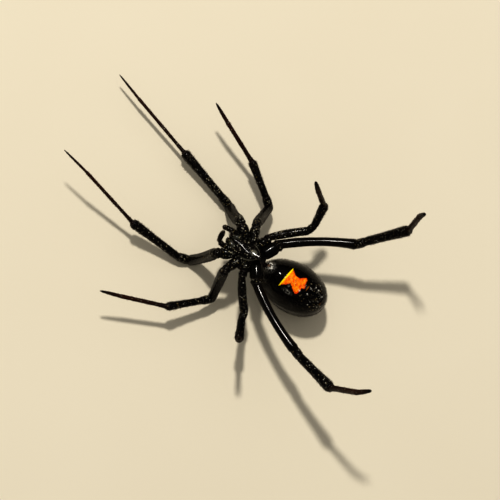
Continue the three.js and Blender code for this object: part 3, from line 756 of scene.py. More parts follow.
def sternum_skin():
    """Heart-shaped plate in sections across y. A section is a flat oval with its sines and cosines
    drawn square, x = w(y) cos a and z = ridge(y) - h - fall + h sin a, bent down to both sides of
    its winding ridge, u away, by fall = 0.5 (sqrt(u^2 + r^2) - r), less on a flat place behind.
    It is smoothest along the ridge and dusty at its edge, and on a place over the flat one it is painted
    pale grey, a painted sheen."""
    rows, columns = 100, 120
    edge = np.array(STERNUM_EDGE)
    y = np.linspace(STERNUM_BACK, STERNUM_FRONT, rows)[:, None]
    half = swelling(y, STERNUM_EDGE)
    half = np.maximum(half, edge[:, 1].min())
    turn = full_turn(columns)
    across = drawn_square(np.cos(turn), 0.8)
    lift = drawn_square(np.sin(turn), 0.7)
    thick = STERNUM_THICKNESS * (half / edge[:, 1].max())**0.5
    x = half * across
    aside = x - RIDGE_X + RIDGE_WINDING * np.exp(-(y / RIDGE_WINDS_OVER)**2)
    ridge = STERNUM_TOP - STERNUM_SLOPE * y
    flat = bump(x, y, FLAT_PLACE, (0.4, 0.4))
    fall = 0.5 * (np.sqrt(aside**2 + RIDGE_ROUNDING**2) - RIDGE_ROUNDING) * (1 - 0.85 * flat)
    z = ridge - thick - fall + thick * lift
    rings = stacked(x, y, z)
    normal = grid_normals(rings, np.array([0, 0, 6.4]))
    rough = 0.2 + 0.8 * smoothstep(0.05, 0.35, np.abs(aside))
    rings = rings + normal * (0.005 * rough * ripple(rings, 0.16, 5))[..., None]
    flow = np.broadcast_to([0.0, -1.0, 0.0], rings.shape)
    chart = stacked((y - STERNUM_BACK) / (STERNUM_FRONT - STERNUM_BACK), turn / (2 * np.pi))
    margin = smoothstep(0.8, 0.95, np.abs(across)) * (lift > -0.5)
    # Painted sheen: pale grey paint on the flat place behind.
    painted_sheen = bump(x, y, PAINTED_SHEEN_PLACE, (0.3, 0.33))
    return closed_skin(rings, flow=flow, chart=chart, bristle=0.13 * (lift > 0), brown=0.0,
                       dusty=np.maximum(0.8 * margin, 0.75 * painted_sheen), grain=np.maximum(rough, 0.5 * flat))


def pleura_skin():
    """Soft wall between the carapace and the breastplate: a low oval body, as wide as sin(pi u)^0.6
    and as high as sin(pi u)^0.5 at u of the way along it, with level folds round it."""
    rows, columns = 60, 120
    share = np.linspace(0.03, 0.97, rows)[:, None]
    turn = full_turn(columns)
    y = PLEURA_MIDDLE[1] - PLEURA_HALVES[1] * np.cos(np.pi * share)
    half = PLEURA_HALVES[0] * np.sin(np.pi * share)**0.6
    z = PLEURA_MIDDLE[2] + PLEURA_HALVES[2] * np.sin(turn) * np.sin(np.pi * share)**0.5
    folds = 1 + 0.02 * np.sin(26 * z)
    return closed_skin(stacked(half * np.cos(turn) * folds, y, z), MEMBRANE, brown=0.3)


def mouthparts():
    """The labium, a short rounded tube that carries the ridge of the breastplate on, between two
    endites, each a square lump with a rounder one behind it, and the mouth's wall under them."""
    back, front = np.array([LABIUM_BACK, LABIUM_FRONT])
    skins = [carried(back, (back + front) / 2, front, rounded_line(LABIUM_OUTLINE), 32, bristle=(0.1, 0.1),
                     brown=(0.05, 0.05), grain=(0, 0))]
    for sign in (1, -1):
        flip = np.array((sign, 1, 1))
        skins.append(pebble(flip * ENDITE[0], ENDITE[1], 0.38 * sign, -0.15, squareness=0.7, bristle=0.12,
                            brown=0.0, grain=1.0, dusty=0.15))
        skins.append(pebble(flip * ENDITE_ROOT[0], ENDITE_ROOT[1], 0.2 * sign, squareness=0.8, bristle=0.1,
                            brown=0.0, grain=1.0, dusty=0.1))
    skins.append(pebble(*MOUTH_WALL, brown=0.0, bristle=0.0, grain=1.0))
    return join(skins)


def eyes():
    """Eight lenses in two rows of four across the front of the head, balls with their middles on
    the carapace, so that half of each stands out."""
    lenses = []
    for y, turns in EYE_ROWS:
        for turn in turns:
            centre = carapace_point(np.float64(y), np.radians(turn))
            lenses.append(pebble(centre, (EYE_RADIUS,) * 3, rows=16, columns=20))
    return join(lenses)


def chelicera(sign):
    """A blunt cone down from the front of the head, swollen at its base, with its fang folded in,
    which is a thorn carried along a bent curve."""
    base = np.array(JAW_BASE) * (sign, 1, 1)
    tip = np.array(JAW_TIP) * (sign, 1, 1)
    outline = joint_outline(np.linalg.norm(tip - base), 0.2, JAW_BODY, JAW_RIM)
    trunk = carried(base, (base + tip) / 2, tip, outline, 32, brown=(0.0, 0.1), grain=(1, 1),
                    bristle=(0.1, 0.16))
    root = tip + (0, 0, -0.12)
    bend = tip + (0.02 * sign, 0.04, 0.22)
    end = tip + (-0.17 * sign, -0.12, 0.16)
    fang = carried(root, bend, end, rounded_line(FANG_OUTLINE, 0.02), 14, brown=(0.8, 0.3), bristle=(0, 0))
    return join([trunk, fang])


def palp(side):
    """Four short joints along the bent line of the palp, the second ending at the elbow between two
    bends, and the last one rounded."""
    sign = 1 if side == "left" else -1
    bends = np.array(PALPS[side]) * (sign, 1, 1)
    elbow = bends[1] + PALP_ELBOW * (bends[2] - bends[1])
    stops = [bends[0], bends[1], elbow, bends[2], bends[3]]
    skins = []
    before = HIP_SHARE * PALP_RADIUS
    for i, body in enumerate(PALP_BODIES):
        start, end = stops[i], stops[i + 1]
        length = np.linalg.norm(end - start)
        last = i == len(PALP_BODIES) - 1
        rim = PALP_RADIUS * (0.5 if last else 0.92)
        radii = np.array(body) * (1, PALP_RADIUS)
        outline = joint_outline(length, BALL_SHARE * before, radii, rim, last)
        skins.append(carried(start, (start + end) / 2, end, outline, 22, span=(i / 4, (i + 1) / 4),
                             brown=(0.05 * i, 0.05 + 0.05 * i), grain=(0.8, 0.8), bristle=(0.12, 0.17)))
        if not last:
            skins.append(membrane_ring(end, unit(end - start), rim))
        before = rim
    return join(skins)


def pedicel_skin():
    """The waist: a tube that narrows twice between its thicker ends."""
    start, end = np.array([WAIST_START, WAIST_END])
    return carried(start, (start + end) / 2, end, rounded_line(WAIST_OUTLINE), 40, brown=(0.2, 0.2),
                   bristle=(0, 0))


# Abdomen

def away_from_outline(x, y, outline):
    """Distance to the nearest side of a closed outline, positive inside it. A point is inside where
    a line from it crosses the sides an odd number of times."""
    nearest = np.full(np.shape(x), np.inf)
    inside = np.zeros(np.shape(x), bool)
    for (ax, ay), (bx, by) in zip(outline, outline[1:] + outline[:1]):
        dx, dy = bx - ax, by - ay
        t = np.clip(((x - ax) * dx + (y - ay) * dy) / (dx**2 + dy**2), 0, 1)
        nearest = np.minimum(nearest, np.hypot(x - ax - t * dx, y - ay - t * dy))
        crosses = (ay > y) != (by > y)
        with np.errstate(divide="ignore", invalid="ignore"):
            inside ^= crosses & (x < ax + (y - ay) * dx / np.where(dy == 0, np.inf, dy))
    return np.where(inside, nearest, -nearest)


def behind_front_edge(x, y):
    """Distance behind the line through the straight front edge of the mark."""
    (ax, ay), (bx, by) = FRONT_EDGE
    return ((x - ax) * (by - ay) - (y - ay) * (bx - ax)) / math.hypot(bx - ax, by - ay)


def midline(y):
    """Where the middle of the abdomen runs: it is turned a little to the left towards its rear."""
    return BELLY_LINE + ABDOMEN_SWING * (REST_Y - y)


def belly_height(y):
    """Height of the belly's midline before its details: the widest line plus the rise at y."""
    c = (y - REST_Y) / ((ABDOMEN_FRONT - ABDOMEN_BACK) / 2)
    return ABDOMEN_WAIST + (ABDOMEN_TOP - ABDOMEN_WAIST) * (1 - c**2)**(ABDOMEN_FLATNESS / 2)


def abdomen_rings():
    """Plain form of the abdomen and its chart: sections across y, from pole to pole, centred on the
    midline. With u the share of the way, s = sin(pi u) and c = cos(pi u), y is the middle plus half
    the length times c. The half width is s (1 - taper c) in front of the middle and s^fullness
    behind it, and the rise above the widest line and the depth below it are powers of s."""
    rows, columns = 250, 320
    share = np.linspace(0.006, 0.994, rows)[:, None]
    turn = full_turn(columns)
    s = np.sin(np.pi * share)
    c = np.cos(np.pi * share)
    y = REST_Y + (ABDOMEN_FRONT - ABDOMEN_BACK) / 2 * c
    half = ABDOMEN_HALF * s**np.where(c < 0, REAR_FULLNESS, 1) * (1 - FRONT_TAPER * np.maximum(0, c))
    up = (ABDOMEN_TOP - ABDOMEN_WAIST) * s**ABDOMEN_FLATNESS
    down = (ABDOMEN_WAIST - ABDOMEN_BOTTOM) * s**BACK_FLATNESS
    z = ABDOMEN_WAIST + np.where(np.sin(turn) < 0, down, up) * np.sin(turn)
    return stacked(midline(y) + half * np.cos(turn), y, z), stacked(share, turn / (2 * np.pi))


def epigynum_relief(aside, y, z):
    """How high the parts of the epigynum stand, and its lip alone, from 0 to 1: the plate is a bump
    with a second one, the hollow, cut into it; the lip a ridge along an oval round the hollow; the
    furrow a groove that bends forward to its ends; and a cover a bump whose edge is sunk."""
    lift = PLATE_HEIGHT * bump(aside, y, *PLATE)
    oval = np.hypot(aside / LIP_RADII[0], (y - HOLLOW_Y) / LIP_RADII[1])
    lip = np.exp(-((oval - 1) / 0.25)**2) * (z > ABDOMEN_WAIST)
    lift = lift + LIP_HEIGHT * lip - HOLLOW_DEPTH * bump(aside, y, (0, HOLLOW_Y), HOLLOW_REACH)
    furrow = np.exp(-((y - FURROW_Y - 0.05 * aside**2) / 0.06)**2) * smoothstep(1.7, 1.3, np.abs(aside))
    lift = lift - FURROW_DEPTH * furrow
    for sign in (1, -1):
        cover = bump(aside, y, (COVER[0] * sign, COVER[1]), COVER_REACH)
        lift = lift + COVER_HEIGHT * cover - COVER_EDGE_DEPTH * cover * (1 - cover)
    return lift, lip


def moat_relief(away, rings):
    """How high the skin stands round the spinnerets, by the distance from their middle, and where
    it is folded, from 0 to 1: a groove, a low wall outside it, a sunk floor inside it, and folds
    round it that a slow ripple makes waver."""
    groove = np.exp(-((away - MOAT + 0.02) / 0.1)**2)
    wall = np.exp(-((away - MOAT - 0.18) / 0.09)**2)
    sunk = smoothstep(MOAT, MOAT - 0.15, away)
    folded = np.exp(-((away - 1.15) / 0.45)**2)
    folds = folded * np.sin(24 * away + 2.5 * ripple(rings, 0.9, 8))
    return 0.03 * wall - 0.06 * groove - 0.1 * sunk + 0.008 * folds, folded


def abdomen_skin():
    """The abdomen's rings with the relief of the belly, which fades out towards the sides, and a
    fine unevenness all over. Its marks are hourglass, the distance inside the mark; behind, the
    distance behind the mark's front edge; stain; a pale mark, which is a painted glint on each raised
    granule and on the lip, strongest on its left rear side, and pale dust over the epigynum and on
    the pale patch beside the mark; and grain."""
    rings, chart = abdomen_rings()
    x, y, z = rings.transpose(2, 0, 1)
    aside = x - midline(y)
    away = np.hypot(aside, y - SPINNERETS_Y)
    belly = smoothstep(0.5, 1.5, z - ABDOMEN_WAIST)
    plate, lip = epigynum_relief(aside, y, z)
    moat, folded = moat_relief(away, rings)
    glint_granules = sum(bump(x, y, spot, GRANULE_REACH) for spot in PAINTED_GLINT_GRANULES)
    lift = plate + bumps(x, y, SMALL_FORMS) + GRANULE_HEIGHT * glint_granules + moat
    uneven = 0.006 * ripple(rings, 1.3, 11) + 0.0025 * ripple(rings, 0.22, 12)
    normal = grid_normals(rings, np.array([BELLY_LINE, REST_Y, ABDOMEN_WAIST]))
    rings = rings + normal * (belly * lift + uneven)[..., None]
    x = rings[..., 0]
    inside = np.where(z > ABDOMEN_WAIST + 1, away_from_outline(x, y, HOURGLASS), -1.0)
    pale_patch = bumps(x, y, PALE_PATCH)
    # The lip is painted pale, most on its left rear side, and so is each raised granule: painted glints. The
    # plate and the pale patch get pale dust.
    glint_side = smoothstep(-0.14, 0.1, 0.92 * aside - 0.39 * (y - HOLLOW_Y))
    dusty = 2.2 * lip * (0.15 + 0.85 * glint_side) + glint_granules + 0.22 * pale_patch
    dusty = dusty + 0.3 * bump(aside, y, PLATE[0], (0.6, 0.55))
    stain = bumps(x, y, STAINS) + bumps(aside, y, HOLLOW_STAIN)
    # The grain: raised grains, with painted glints on some, over the folds round the spinnerets and on the
    # two speckled patches.
    grain = np.clip(0.8 * folded + pale_patch + bumps(x, y, SPECKLED), 0.12, 1)
    hairy = smoothstep(MOAT - 0.1, MOAT + 0.1, away) + (z < ABDOMEN_WAIST)
    return closed_skin(
        rings, flow=stacked(0.3 * x, -1.0, 0.0), chart=chart, bristle=0.16 * np.clip(hairy, 0, 1),
        hourglass=np.clip(inside, -0.6, 0.6), behind=np.clip(behind_front_edge(x, y), -0.5, 0.5),
        stain=stain * belly, dusty=dusty * belly, grain=grain * belly)


def spinnerets():
    """Three pairs of cones and a small fourth, leaning together over a low round base, each narrowed
    where its two joints meet, with the colulus before them and the anal cone behind."""
    middle = np.array([midline(SPINNERETS_Y), SPINNERETS_Y, belly_height(SPINNERETS_Y)])
    up = np.array([0, -0.05, 1.0])
    skins = [carried(middle - 0.1 * up, middle, middle + 0.1 * up, rounded_line(SPINNERETS_BASE, 0.03), 48,
                     brown=(0, 0), grain=(1, 1), bristle=(0.1, 0.1))]
    for (x, y), radius, tall in SPINNERET_PAIRS:
        for sign in (1, -1):
            foot = middle + (sign * x, y, -0.08)
            tip = middle + (0.75 * sign * x, 0.8 * y, tall - 0.08)
            outline = rounded_line(np.array(CONE_SHAPE) * (np.linalg.norm(tip - foot), radius), 0.04)
            skins.append(carried(foot, (foot + tip) / 2, tip, outline, 20, brown=(0, 0.15), grain=(1, 1),
                                 bristle=(0.1, 0.12)))
    skins.append(pebble(middle + (0, 0.66, -0.02), (0.1, 0.13, 0.14), tip=-0.4, brown=0.1, grain=1.0,
                        bristle=0.1))
    skins.append(pebble(middle + (0, -0.68, -0.02), (0.2, 0.18, 0.22), tip=0.3, brown=0.1, grain=1.0,
                        bristle=0.12))
    return join(skins)


# Materials

def colour(code):
    """Linear colour of an sRGB hex code."""
    shares = [int(code[i:i + 2], 16) / 255 for i in (1, 3, 5)]
    return (*(v / 12.92 if v <= 0.04045 else ((v + 0.055) / 1.055)**2.4 for v in shares), 1.0)


def in_use(sockets, name=None):
    """The first socket that the node's settings leave in use, of the given name if there is one."""
    return next(socket for socket in sockets if socket.enabled and name in (None, socket.name))


def add(tree, kind, sockets=None, **settings):
    """A shader node. The settings are its properties. Its sockets are given by number or by name,
    each a value, the hex code of a colour, or the output or the node that links to it, which for a
    node is its first output."""
    node = tree.nodes.new("ShaderNode" + kind)
    for name, value in settings.items():
        setattr(node, name, value)
    for name, value in (sockets or {}).items():
        socket = node.inputs[name] if isinstance(name, int) else in_use(node.inputs, name)
        if isinstance(value, str):
            value = colour(value)
        if isinstance(value, bpy.types.Node):
            value = in_use(value.outputs)
        if isinstance(value, bpy.types.NodeSocket):
            tree.links.new(value, socket)
        else:
            socket.default_value = value
    return node


def new_material(name):
    """An empty material with its tree and the object's own coordinates."""
    material = bpy.data.materials.new(name)
    material.use_nodes = True
    tree = material.node_tree
    tree.nodes.clear()
    return material, tree, add(tree, "TexCoord").outputs["Object"]


def finished(material, shader):
    """The material, with the shader as its surface."""
    add(material.node_tree, "OutputMaterial", {"Surface": shader})
    return material


def per_mm(size):
    """Texture scale for a pattern whose grains are `size` millimetres apart."""
    return 1 / (size * MM)


# Grains of the skin, in shares of their spacing: how far a dome reaches, the least and the greatest
# pale top, and the core of a top, which is palest. A pale top is a painted glint: a grey to amber
# dot in the base colour for the light a grain would catch. A grain whose chance times the mark
# grain is below the first share has no pale top, and above the second a full one. The wrinkles of
# real skin are finer than 0.01 mm, and these are drawn coarser, so that they show.
WRINKLE = 0.05
ABDOMEN_WRINKLE = 0.07
DOME_REACH = 0.6
PAINTED_GLINT_SIZES = (0.2, 0.56)
PAINTED_GLINT_CORE = 0.08
PAINTED_GLINT_CHANCE = (0.26, 0.62)
PAINTED_GLINT_GREY = "#c8c8bc"
PAINTED_GLINT_AMBER = "#93814f"


def grained(tree, place, grain, grain_height, wrinkle, wrinkle_height):
    """Bump of raised grains, the sockets of the bristles, as high as the mark grain says, over fine
    wrinkles; the share of painted glints, pale dots painted on some of the grains for the light
    they would catch; and their colour, grey to amber. The grains are cells a little out of place,
    and each draws its chance, its tint and its size."""
    stray = add(tree, "TexNoise", {"Vector": place, "Scale": per_mm(2 * grain), "Detail": 1.0})
    astray = add(tree, "VectorMath", {0: stray.outputs["Color"], 1: (0.5 * grain * MM,) * 3, 2: place},
                 operation="MULTIPLY_ADD")
    grains = add(tree, "TexVoronoi", {"Vector": astray, "Scale": per_mm(grain)}, feature="F1")
    share = add(tree, "Attribute", attribute_name="grain").outputs["Fac"]
    domes = add(tree, "MapRange", {"Value": grains, "From Max": DOME_REACH, "To Min": 1.0, "To Max": 0.0},
                interpolation_type="SMOOTHSTEP")
    height = add(tree, "Math", {0: domes, 1: share}, operation="MULTIPLY")
    raised = add(tree, "Bump", {"Height": height, "Distance": grain_height * MM})
    noise = add(tree, "TexNoise", {"Vector": place, "Scale": per_mm(wrinkle), "Detail": 1.0})
    wrinkled = add(tree, "Bump", {"Height": noise, "Distance": wrinkle_height * MM, "Normal": raised})
    chance = add(tree, "SeparateColor", {"Color": grains.outputs["Color"]})
    likely = add(tree, "Math", {0: chance.outputs["Red"], 1: share}, operation="MULTIPLY")
    chosen = add(tree, "MapRange", {"Value": likely, "From Min": PAINTED_GLINT_CHANCE[0], "From Max": PAINTED_GLINT_CHANCE[1]})
    size = add(tree, "MapRange", {"Value": chance.outputs["Blue"], "To Min": PAINTED_GLINT_SIZES[0],
                                  "To Max": PAINTED_GLINT_SIZES[1]})
    dot = add(tree, "MapRange", {"Value": grains, "From Min": size, "From Max": PAINTED_GLINT_CORE})
    painted_glints = add(tree, "Math", {0: chosen, 1: dot}, operation="MULTIPLY")
    tint = add(tree, "Mix", {"Factor": chance.outputs["Green"], "A": PAINTED_GLINT_GREY, "B": PAINTED_GLINT_AMBER},
               data_type="RGBA")
    return wrinkled, painted_glints, tint


DULL_FROM, DULL_TO = 0.55, 0.95
DULL_ROUGHNESS = 0.75


def dull_edge(tree, roughness):
    """Roughness that rises where the skin is seen at a low angle, as fine down dulls its gloss."""
    slant = add(tree, "LayerWeight", {"Blend": 0.5}).outputs["Facing"]
    return add(tree, "MapRange", {"Value": slant, "From Min": DULL_FROM, "From Max": DULL_TO,
                                  "To Min": roughness, "To Max": DULL_ROUGHNESS})


# Tanned cuticle has an IOR of about 1.55. With these lower ones the glints under the small key
# light are as strong as the animal's, and the black between them stays black. The down on the
# shell is drawn as a greenish grey dust, and the same grey on the breastplate's flat place is a
# painted sheen
SHELL_IOR = 1.25
ABDOMEN_IOR = 1.2
SHELL_DUST_AND_SHEEN = "#77776a"


def cuticle(name, dark, pale, grain, grain_height, wrinkle_height, smooth, rough, patch=0.4):
    """Hard shell: dark where the mark brown is 0 and pale where it is 1, cloudy by a slow noise,
    greenish grey where the pale mark is 1, which is dust at the breastplate's edge and on the
    endites and a painted sheen on its flat place, with painted glints on some grains, and its
    roughness between smooth and rough by a finer noise."""
    material, tree, place = new_material(name)
    brown = add(tree, "Attribute", attribute_name="brown").outputs["Fac"]
    cloud = add(tree, "TexNoise", {"Vector": place, "Scale": per_mm(patch), "Detail": 3.0})
    uneven = add(tree, "Math", {0: cloud, 1: 0.5}, operation="SUBTRACT")
    share = add(tree, "Math", {0: uneven, 1: 0.5, 2: brown}, operation="MULTIPLY_ADD", use_clamp=True)
    tanned = add(tree, "Mix", {"Factor": share, "A": dark, "B": pale}, data_type="RGBA")
    # Greenish grey: dust at the breastplate's edge and on the endites, and a painted sheen on its flat
    # place.
    dusty = add(tree, "Attribute", attribute_name="dusty").outputs["Fac"]
    dulled = add(tree, "Mix", {"Factor": dusty, "A": tanned, "B": SHELL_DUST_AND_SHEEN}, data_type="RGBA")
    normal, painted_glints, tint = grained(tree, place, grain, grain_height, WRINKLE, wrinkle_height)
    # Painted glints: pale dots mixed into the base colour on some of the grains.
    base = add(tree, "Mix", {"Factor": painted_glints, "A": dulled, "B": tint}, data_type="RGBA")
    mottle = add(tree, "TexNoise", {"Vector": place, "Scale": per_mm(0.12), "Detail": 2.0})
    gloss = add(tree, "MapRange", {"Value": mottle, "From Min": 0.3, "From Max": 0.7, "To Min": smooth,
                                   "To Max": rough})
    return finished(material, add(tree, "BsdfPrincipled", {
        "Base Color": base, "Roughness": dull_edge(tree, gloss), "IOR": SHELL_IOR, "Normal": normal}))


def mark_colour(tree, place):
    """Colour of the hourglass and where it is: red pigment, mottled with gold, less so near its
    edge, pitted dark, and yellow along its front edge. Its outline is ragged, except along that
    edge."""
    ragged = add(tree, "TexNoise", {"Vector": place, "Scale": per_mm(0.16), "Detail": 3.0})
    shift = add(tree, "Math", {0: ragged, 1: 0.5}, operation="SUBTRACT")
    inside = add(tree, "Attribute", attribute_name="hourglass").outputs["Fac"]
    behind = add(tree, "Attribute", attribute_name="behind").outputs["Fac"]
    growing = add(tree, "MapRange", {"Value": behind, "From Max": 0.3, "To Max": 0.22})
    raggedness = add(tree, "Math", {0: shift, 1: growing}, operation="MULTIPLY")
    edge = add(tree, "Math", {0: inside, 1: raggedness}, operation="ADD")
    red = add(tree, "MapRange", {"Value": edge, "From Min": -0.012, "From Max": 0.018})
    mottle = add(tree, "TexNoise", {"Vector": place, "Scale": per_mm(0.22), "Detail": 4.0, "Roughness": 0.7})
    patches = add(tree, "MapRange", {"Value": mottle, "From Min": 0.4, "From Max": 0.62})
    inner = add(tree, "MapRange", {"Value": inside, "From Min": -0.05, "From Max": 0.2, "To Min": 0.2})
    gold = add(tree, "Math", {0: patches, 1: inner}, operation="MULTIPLY")
    pigment = add(tree, "Mix", {"Factor": gold, "A": "#f24a04", "B": "#ffac1e"}, data_type="RGBA")
    pits = add(tree, "MapRange", {"Value": mottle, "From Min": 0.36, "From Max": 0.31})
    pitted = add(tree, "Mix", {"Factor": pits, "A": pigment, "B": "#6a1e04"}, data_type="RGBA")
    at_front = add(tree, "MapRange", {"Value": behind, "From Min": YELLOW_WIDTH + 0.015,
                                      "From Max": YELLOW_WIDTH - 0.02})
    fronted = add(tree, "Mix", {"Factor": at_front, "A": pitted, "B": "#ffe200"}, data_type="RGBA")
    return fronted, red


def abdomen_material():
    """Cuticle of the abdomen, stretched tight over the body: near-black, smooth and glossy, so that
    the lights stand in it as sharp glints. Over it lie the mark, amber stains, whitish flecks,
    which are dust and, on the lip and on each raised granule, painted glints, and painted glints
    as pale dots on some of the bristles' sockets."""
    material, tree, place = new_material("abdomen_cuticle_stretched_glossy")
    fronted, red = mark_colour(tree, place)
    cloud = add(tree, "TexNoise", {"Vector": place, "Scale": per_mm(0.9), "Detail": 4.0})
    black = add(tree, "Mix", {"Factor": cloud, "A": "#030303", "B": "#0b0807"}, data_type="RGBA")
    stain = add(tree, "Attribute", attribute_name="stain").outputs["Fac"]
    stained = add(tree, "Mix", {"Factor": stain, "A": black, "B": "#a8660e"}, data_type="RGBA")
    dusty = add(tree, "Attribute", attribute_name="dusty").outputs["Fac"]
    flecks = add(tree, "TexNoise", {"Vector": place, "Scale": per_mm(0.13), "Detail": 2.0})
    flecked = add(tree, "MapRange", {"Value": flecks, "From Min": 0.42, "From Max": 0.62})
    dust = add(tree, "Math", {0: dusty, 1: flecked}, operation="MULTIPLY")
    marked = add(tree, "Mix", {"Factor": red, "A": stained, "B": fronted}, data_type="RGBA")
    # Near-white: dust, and on the lip and on each raised granule a painted glint.
    dulled = add(tree, "Mix", {"Factor": dust, "A": marked, "B": "#e6e4da"}, data_type="RGBA")
    normal, painted_glints, tint = grained(tree, place, grain=0.24, grain_height=0.02, wrinkle=ABDOMEN_WRINKLE,
                                 wrinkle_height=0.0003)
    # Painted glints: pale dots mixed into the base colour on some of the grains.
    base = add(tree, "Mix", {"Factor": painted_glints, "A": dulled, "B": tint}, data_type="RGBA")
    return finished(material, add(tree, "BsdfPrincipled", {
        "Base Color": base, "Roughness": 0.12, "IOR": ABDOMEN_IOR, "Normal": normal}))


def membrane_material():
    """Joint membrane: soft unhardened skin, folded, black-brown, with a dull wet gloss that parts
    it from the hard lengths."""
    material, tree, place = new_material("joint_membrane_soft")
    noise = add(tree, "TexNoise", {"Vector": place, "Scale": per_mm(0.1), "Detail": 3.0})
    base = add(tree, "Mix", {"Factor": noise, "A": "#0c0705", "B": "#180c06"}, data_type="RGBA")
    folded = add(tree, "Bump", {"Height": noise, "Distance": 0.01 * MM})
    return finished(material, add(tree, "BsdfPrincipled", {
        "Base Color": base, "Roughness": 0.45, "IOR": 1.45, "Normal": folded}))


def lens_material():
    """Eye lens: clear hard cuticle over dark pigment, polished, so that each eye is one bright
    point in a dark bead."""
    material, tree, place = new_material("eye_lens_polished")
    noise = add(tree, "TexNoise", {"Vector": place, "Scale": per_mm(0.15)})
    base = add(tree, "Mix", {"Factor": noise, "A": "#050302", "B": "#241008"}, data_type="RGBA")
    return finished(material, add(tree, "BsdfPrincipled", {
        "Base Color": base, "Roughness": 0.06, "IOR": 1.6, "Coat Weight": 1.0, "Coat Roughness": 0.03}))


def bristle_material():
    """Bristle: a solid spike of tanned cuticle, black-brown at its root and amber at its tip, so
    that the coat shows as a soft edge against the light."""
    material, tree, _ = new_material("bristle_tanned_cuticle")
    tip = add(tree, "Attribute", attribute_name="tip").outputs["Fac"]
    base = add(tree, "Mix", {"Factor": tip, "A": "#0d0805", "B": "#3a2412"}, data_type="RGBA")
    return finished(material, add(tree, "BsdfPrincipled", {
        "Base Color": base, "Roughness": 0.35, "IOR": 1.56}))


def floor_material():
    """Matt painted board: pale cream, with a faint cloudiness and no gloss, so that nothing in it
    draws the eye from the animal."""
    material, tree, place = new_material("painted_board_matt")
    noise = add(tree, "TexNoise", {"Vector": place, "Scale": per_mm(30), "Detail": 3.0})
    base = add(tree, "Mix", {"Factor": noise, "A": "#dad2be", "B": "#dfd8c5"}, data_type="RGBA")
    return finished(material, add(tree, "BsdfPrincipled", {"Base Color": base, "Roughness": 0.9}))


# Stage: a plain floor, a small key light far off, which gives the sharp glints, a wide weak fill
# beside it, and an even sky. A light's power is in watts

FLOOR_HALF = 400
FLOOR_DROP = 0.004
KEY = dict(towards=(0.25, 0.29, 0.92), distance=420, size=26, power=1.0, tint="#fffaf2")
FILL = dict(towards=(0.35, 0.1, 0.93), distance=700, size=900, power=0.5, tint="#f4f6ff")
SKY_TINT = "#f4efe6"
SKY_STRENGTH = 0.28


def place_floor():
    """One square, a hair below the model's lowest points so that the two don't flicker."""
    mesh = bpy.data.meshes.new("floor")
    h = FLOOR_HALF * MM
    z = -FLOOR_DROP * MM
    mesh.from_pydata([(-h, -h, z), (h, -h, z), (h, h, z), (-h, h, z)], [], [(0, 1, 2, 3)])
    mesh.materials.append(floor_material())
    floor = bpy.data.objects.new("floor", mesh)
    bpy.context.scene.collection.objects.link(floor)


def place_light(name, towards, distance, size, power, tint):
    """Square softbox at a distance from the middle of the body, facing it."""
    data = bpy.data.lights.new(name, "AREA")
    data.size = size * MM
    data.energy = power
    data.color = colour(tint)[:3]
    light = bpy.data.objects.new(name, data)
    direction = Vector(towards).normalized()
    middle = Vector((-BELLY_LINE, -REST_Y, VIEW_HEIGHT))
    light.location = (middle + direction * distance) * MM
    light.rotation_mode = "QUATERNION"
    light.rotation_quaternion = direction.to_track_quat("Z", "Y")
    light.visible_camera = False
    bpy.context.scene.collection.objects.link(light)


def place_sky():
    world = bpy.data.worlds.new("studio")
    world.use_nodes = True
    background = world.node_tree.nodes["Background"]
    background.inputs["Color"].default_value = colour(SKY_TINT)
    background.inputs["Strength"].default_value = SKY_STRENGTH
    bpy.context.scene.world = world


# The model

place_camera()
place_floor()
place_light("key", **KEY)
place_light("fill", **FILL)
place_sky()
bpy.context.scene.view_settings.view_transform = "Standard"
bpy.context.scene.view_settings.look = "High Contrast"

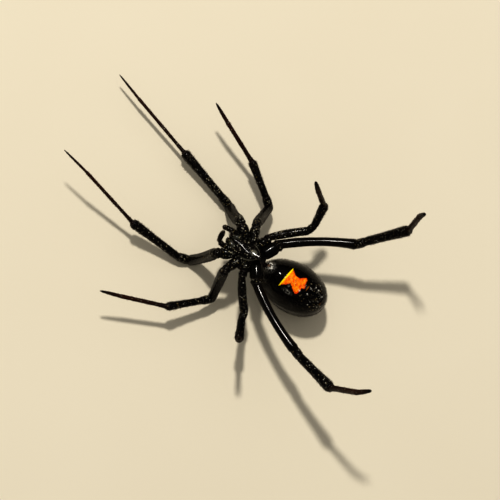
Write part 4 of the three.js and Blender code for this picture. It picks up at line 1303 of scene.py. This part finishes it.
# Cuticle hardened by tanning. On the thorax it is set with grains that break up the light like
# fine leather, with painted glints on some of them, on the legs it is smoother and shines in long
# glints, and on the feet it is thin, brown and less glossy.
body_shell = cuticle("thorax_cuticle_tanned_granular", dark="#040404", pale="#2a140a", grain=0.2,
                     grain_height=0.035, wrinkle_height=0.0003, smooth=0.09, rough=0.18)
leg_shell = cuticle("leg_cuticle_tanned_glossy", dark="#040403", pale="#26120a", grain=0.19,
                    grain_height=0.025, wrinkle_height=0.0002, smooth=0.09, rough=0.18)
foot_shell = cuticle("foot_cuticle_thin_brown", dark="#060403", pale="#34180a", grain=0.2,
                     grain_height=0.015, wrinkle_height=0.0006, smooth=0.2, rough=0.32, patch=0.25)
membrane = membrane_material()
bristle = bristle_material()

thorax = carapace_skin()
sternum = sternum_skin()
mouth = mouthparts()
abdomen = abdomen_skin()
make_piece("carapace", thorax, [body_shell, membrane], ["prosoma"])
make_piece("sternum", sternum, [body_shell], ["prosoma"])
make_piece("mouthparts", mouth, [body_shell], ["prosoma"])
make_piece("pleura", pleura_skin(), [body_shell, membrane], ["prosoma"])
make_piece("eyes", eyes(), [lens_material()], ["prosoma"])
make_piece("waist", pedicel_skin(), [body_shell], ["pedicel"])
make_piece("abdomen_skin", abdomen, [abdomen_material()], ["abdomen"])
make_piece("spinneret_cones", spinnerets(), [leg_shell], ["spinnerets"])
hairy = [sternum, mouth, thorax]
all_claws = []
for side, sign in (("left", 1), ("right", -1)):
    jaw = chelicera(sign)
    make_piece(f"jaw_{side}", jaw, [body_shell], [f"chelicera_{side}"])
    feeler = palp(side)
    make_piece(f"feeler_{side}", feeler, [leg_shell, membrane], [f"palp_{side}"])
    hairy += [jaw, feeler]
    for pair in LENGTHS:
        upper, foot, claw = leg(side, pair)
        name = f"leg_{pair}_{side}"
        make_piece(name, upper, [leg_shell, membrane],
                   [f"{name}_coxa", f"{name}_femur", f"{name}_tibia"])
        make_piece(f"foot_{pair}_{side}", foot, [foot_shell, membrane], [f"{name}_foot"])
        all_claws.append(claw)
        count = int(BRISTLES_PER_MM * sum(LENGTHS[pair]))
        coat = bristles(join([upper, foot]), count, seed=10 * pair + (side == "left"))
        make_piece(f"bristles_{pair}_{side}", coat, [bristle])
make_piece("claws", join(all_claws), [foot_shell])
make_piece("bristles_thorax", bristles(join(hairy), THORAX_BRISTLES, seed=5), [bristle])
coat = bristles(abdomen, ABDOMEN_BRISTLES, seed=6, lean=45, spread=20, radius=ABDOMEN_BRISTLE_RADIUS)
make_piece("bristles_abdomen", coat, [bristle])
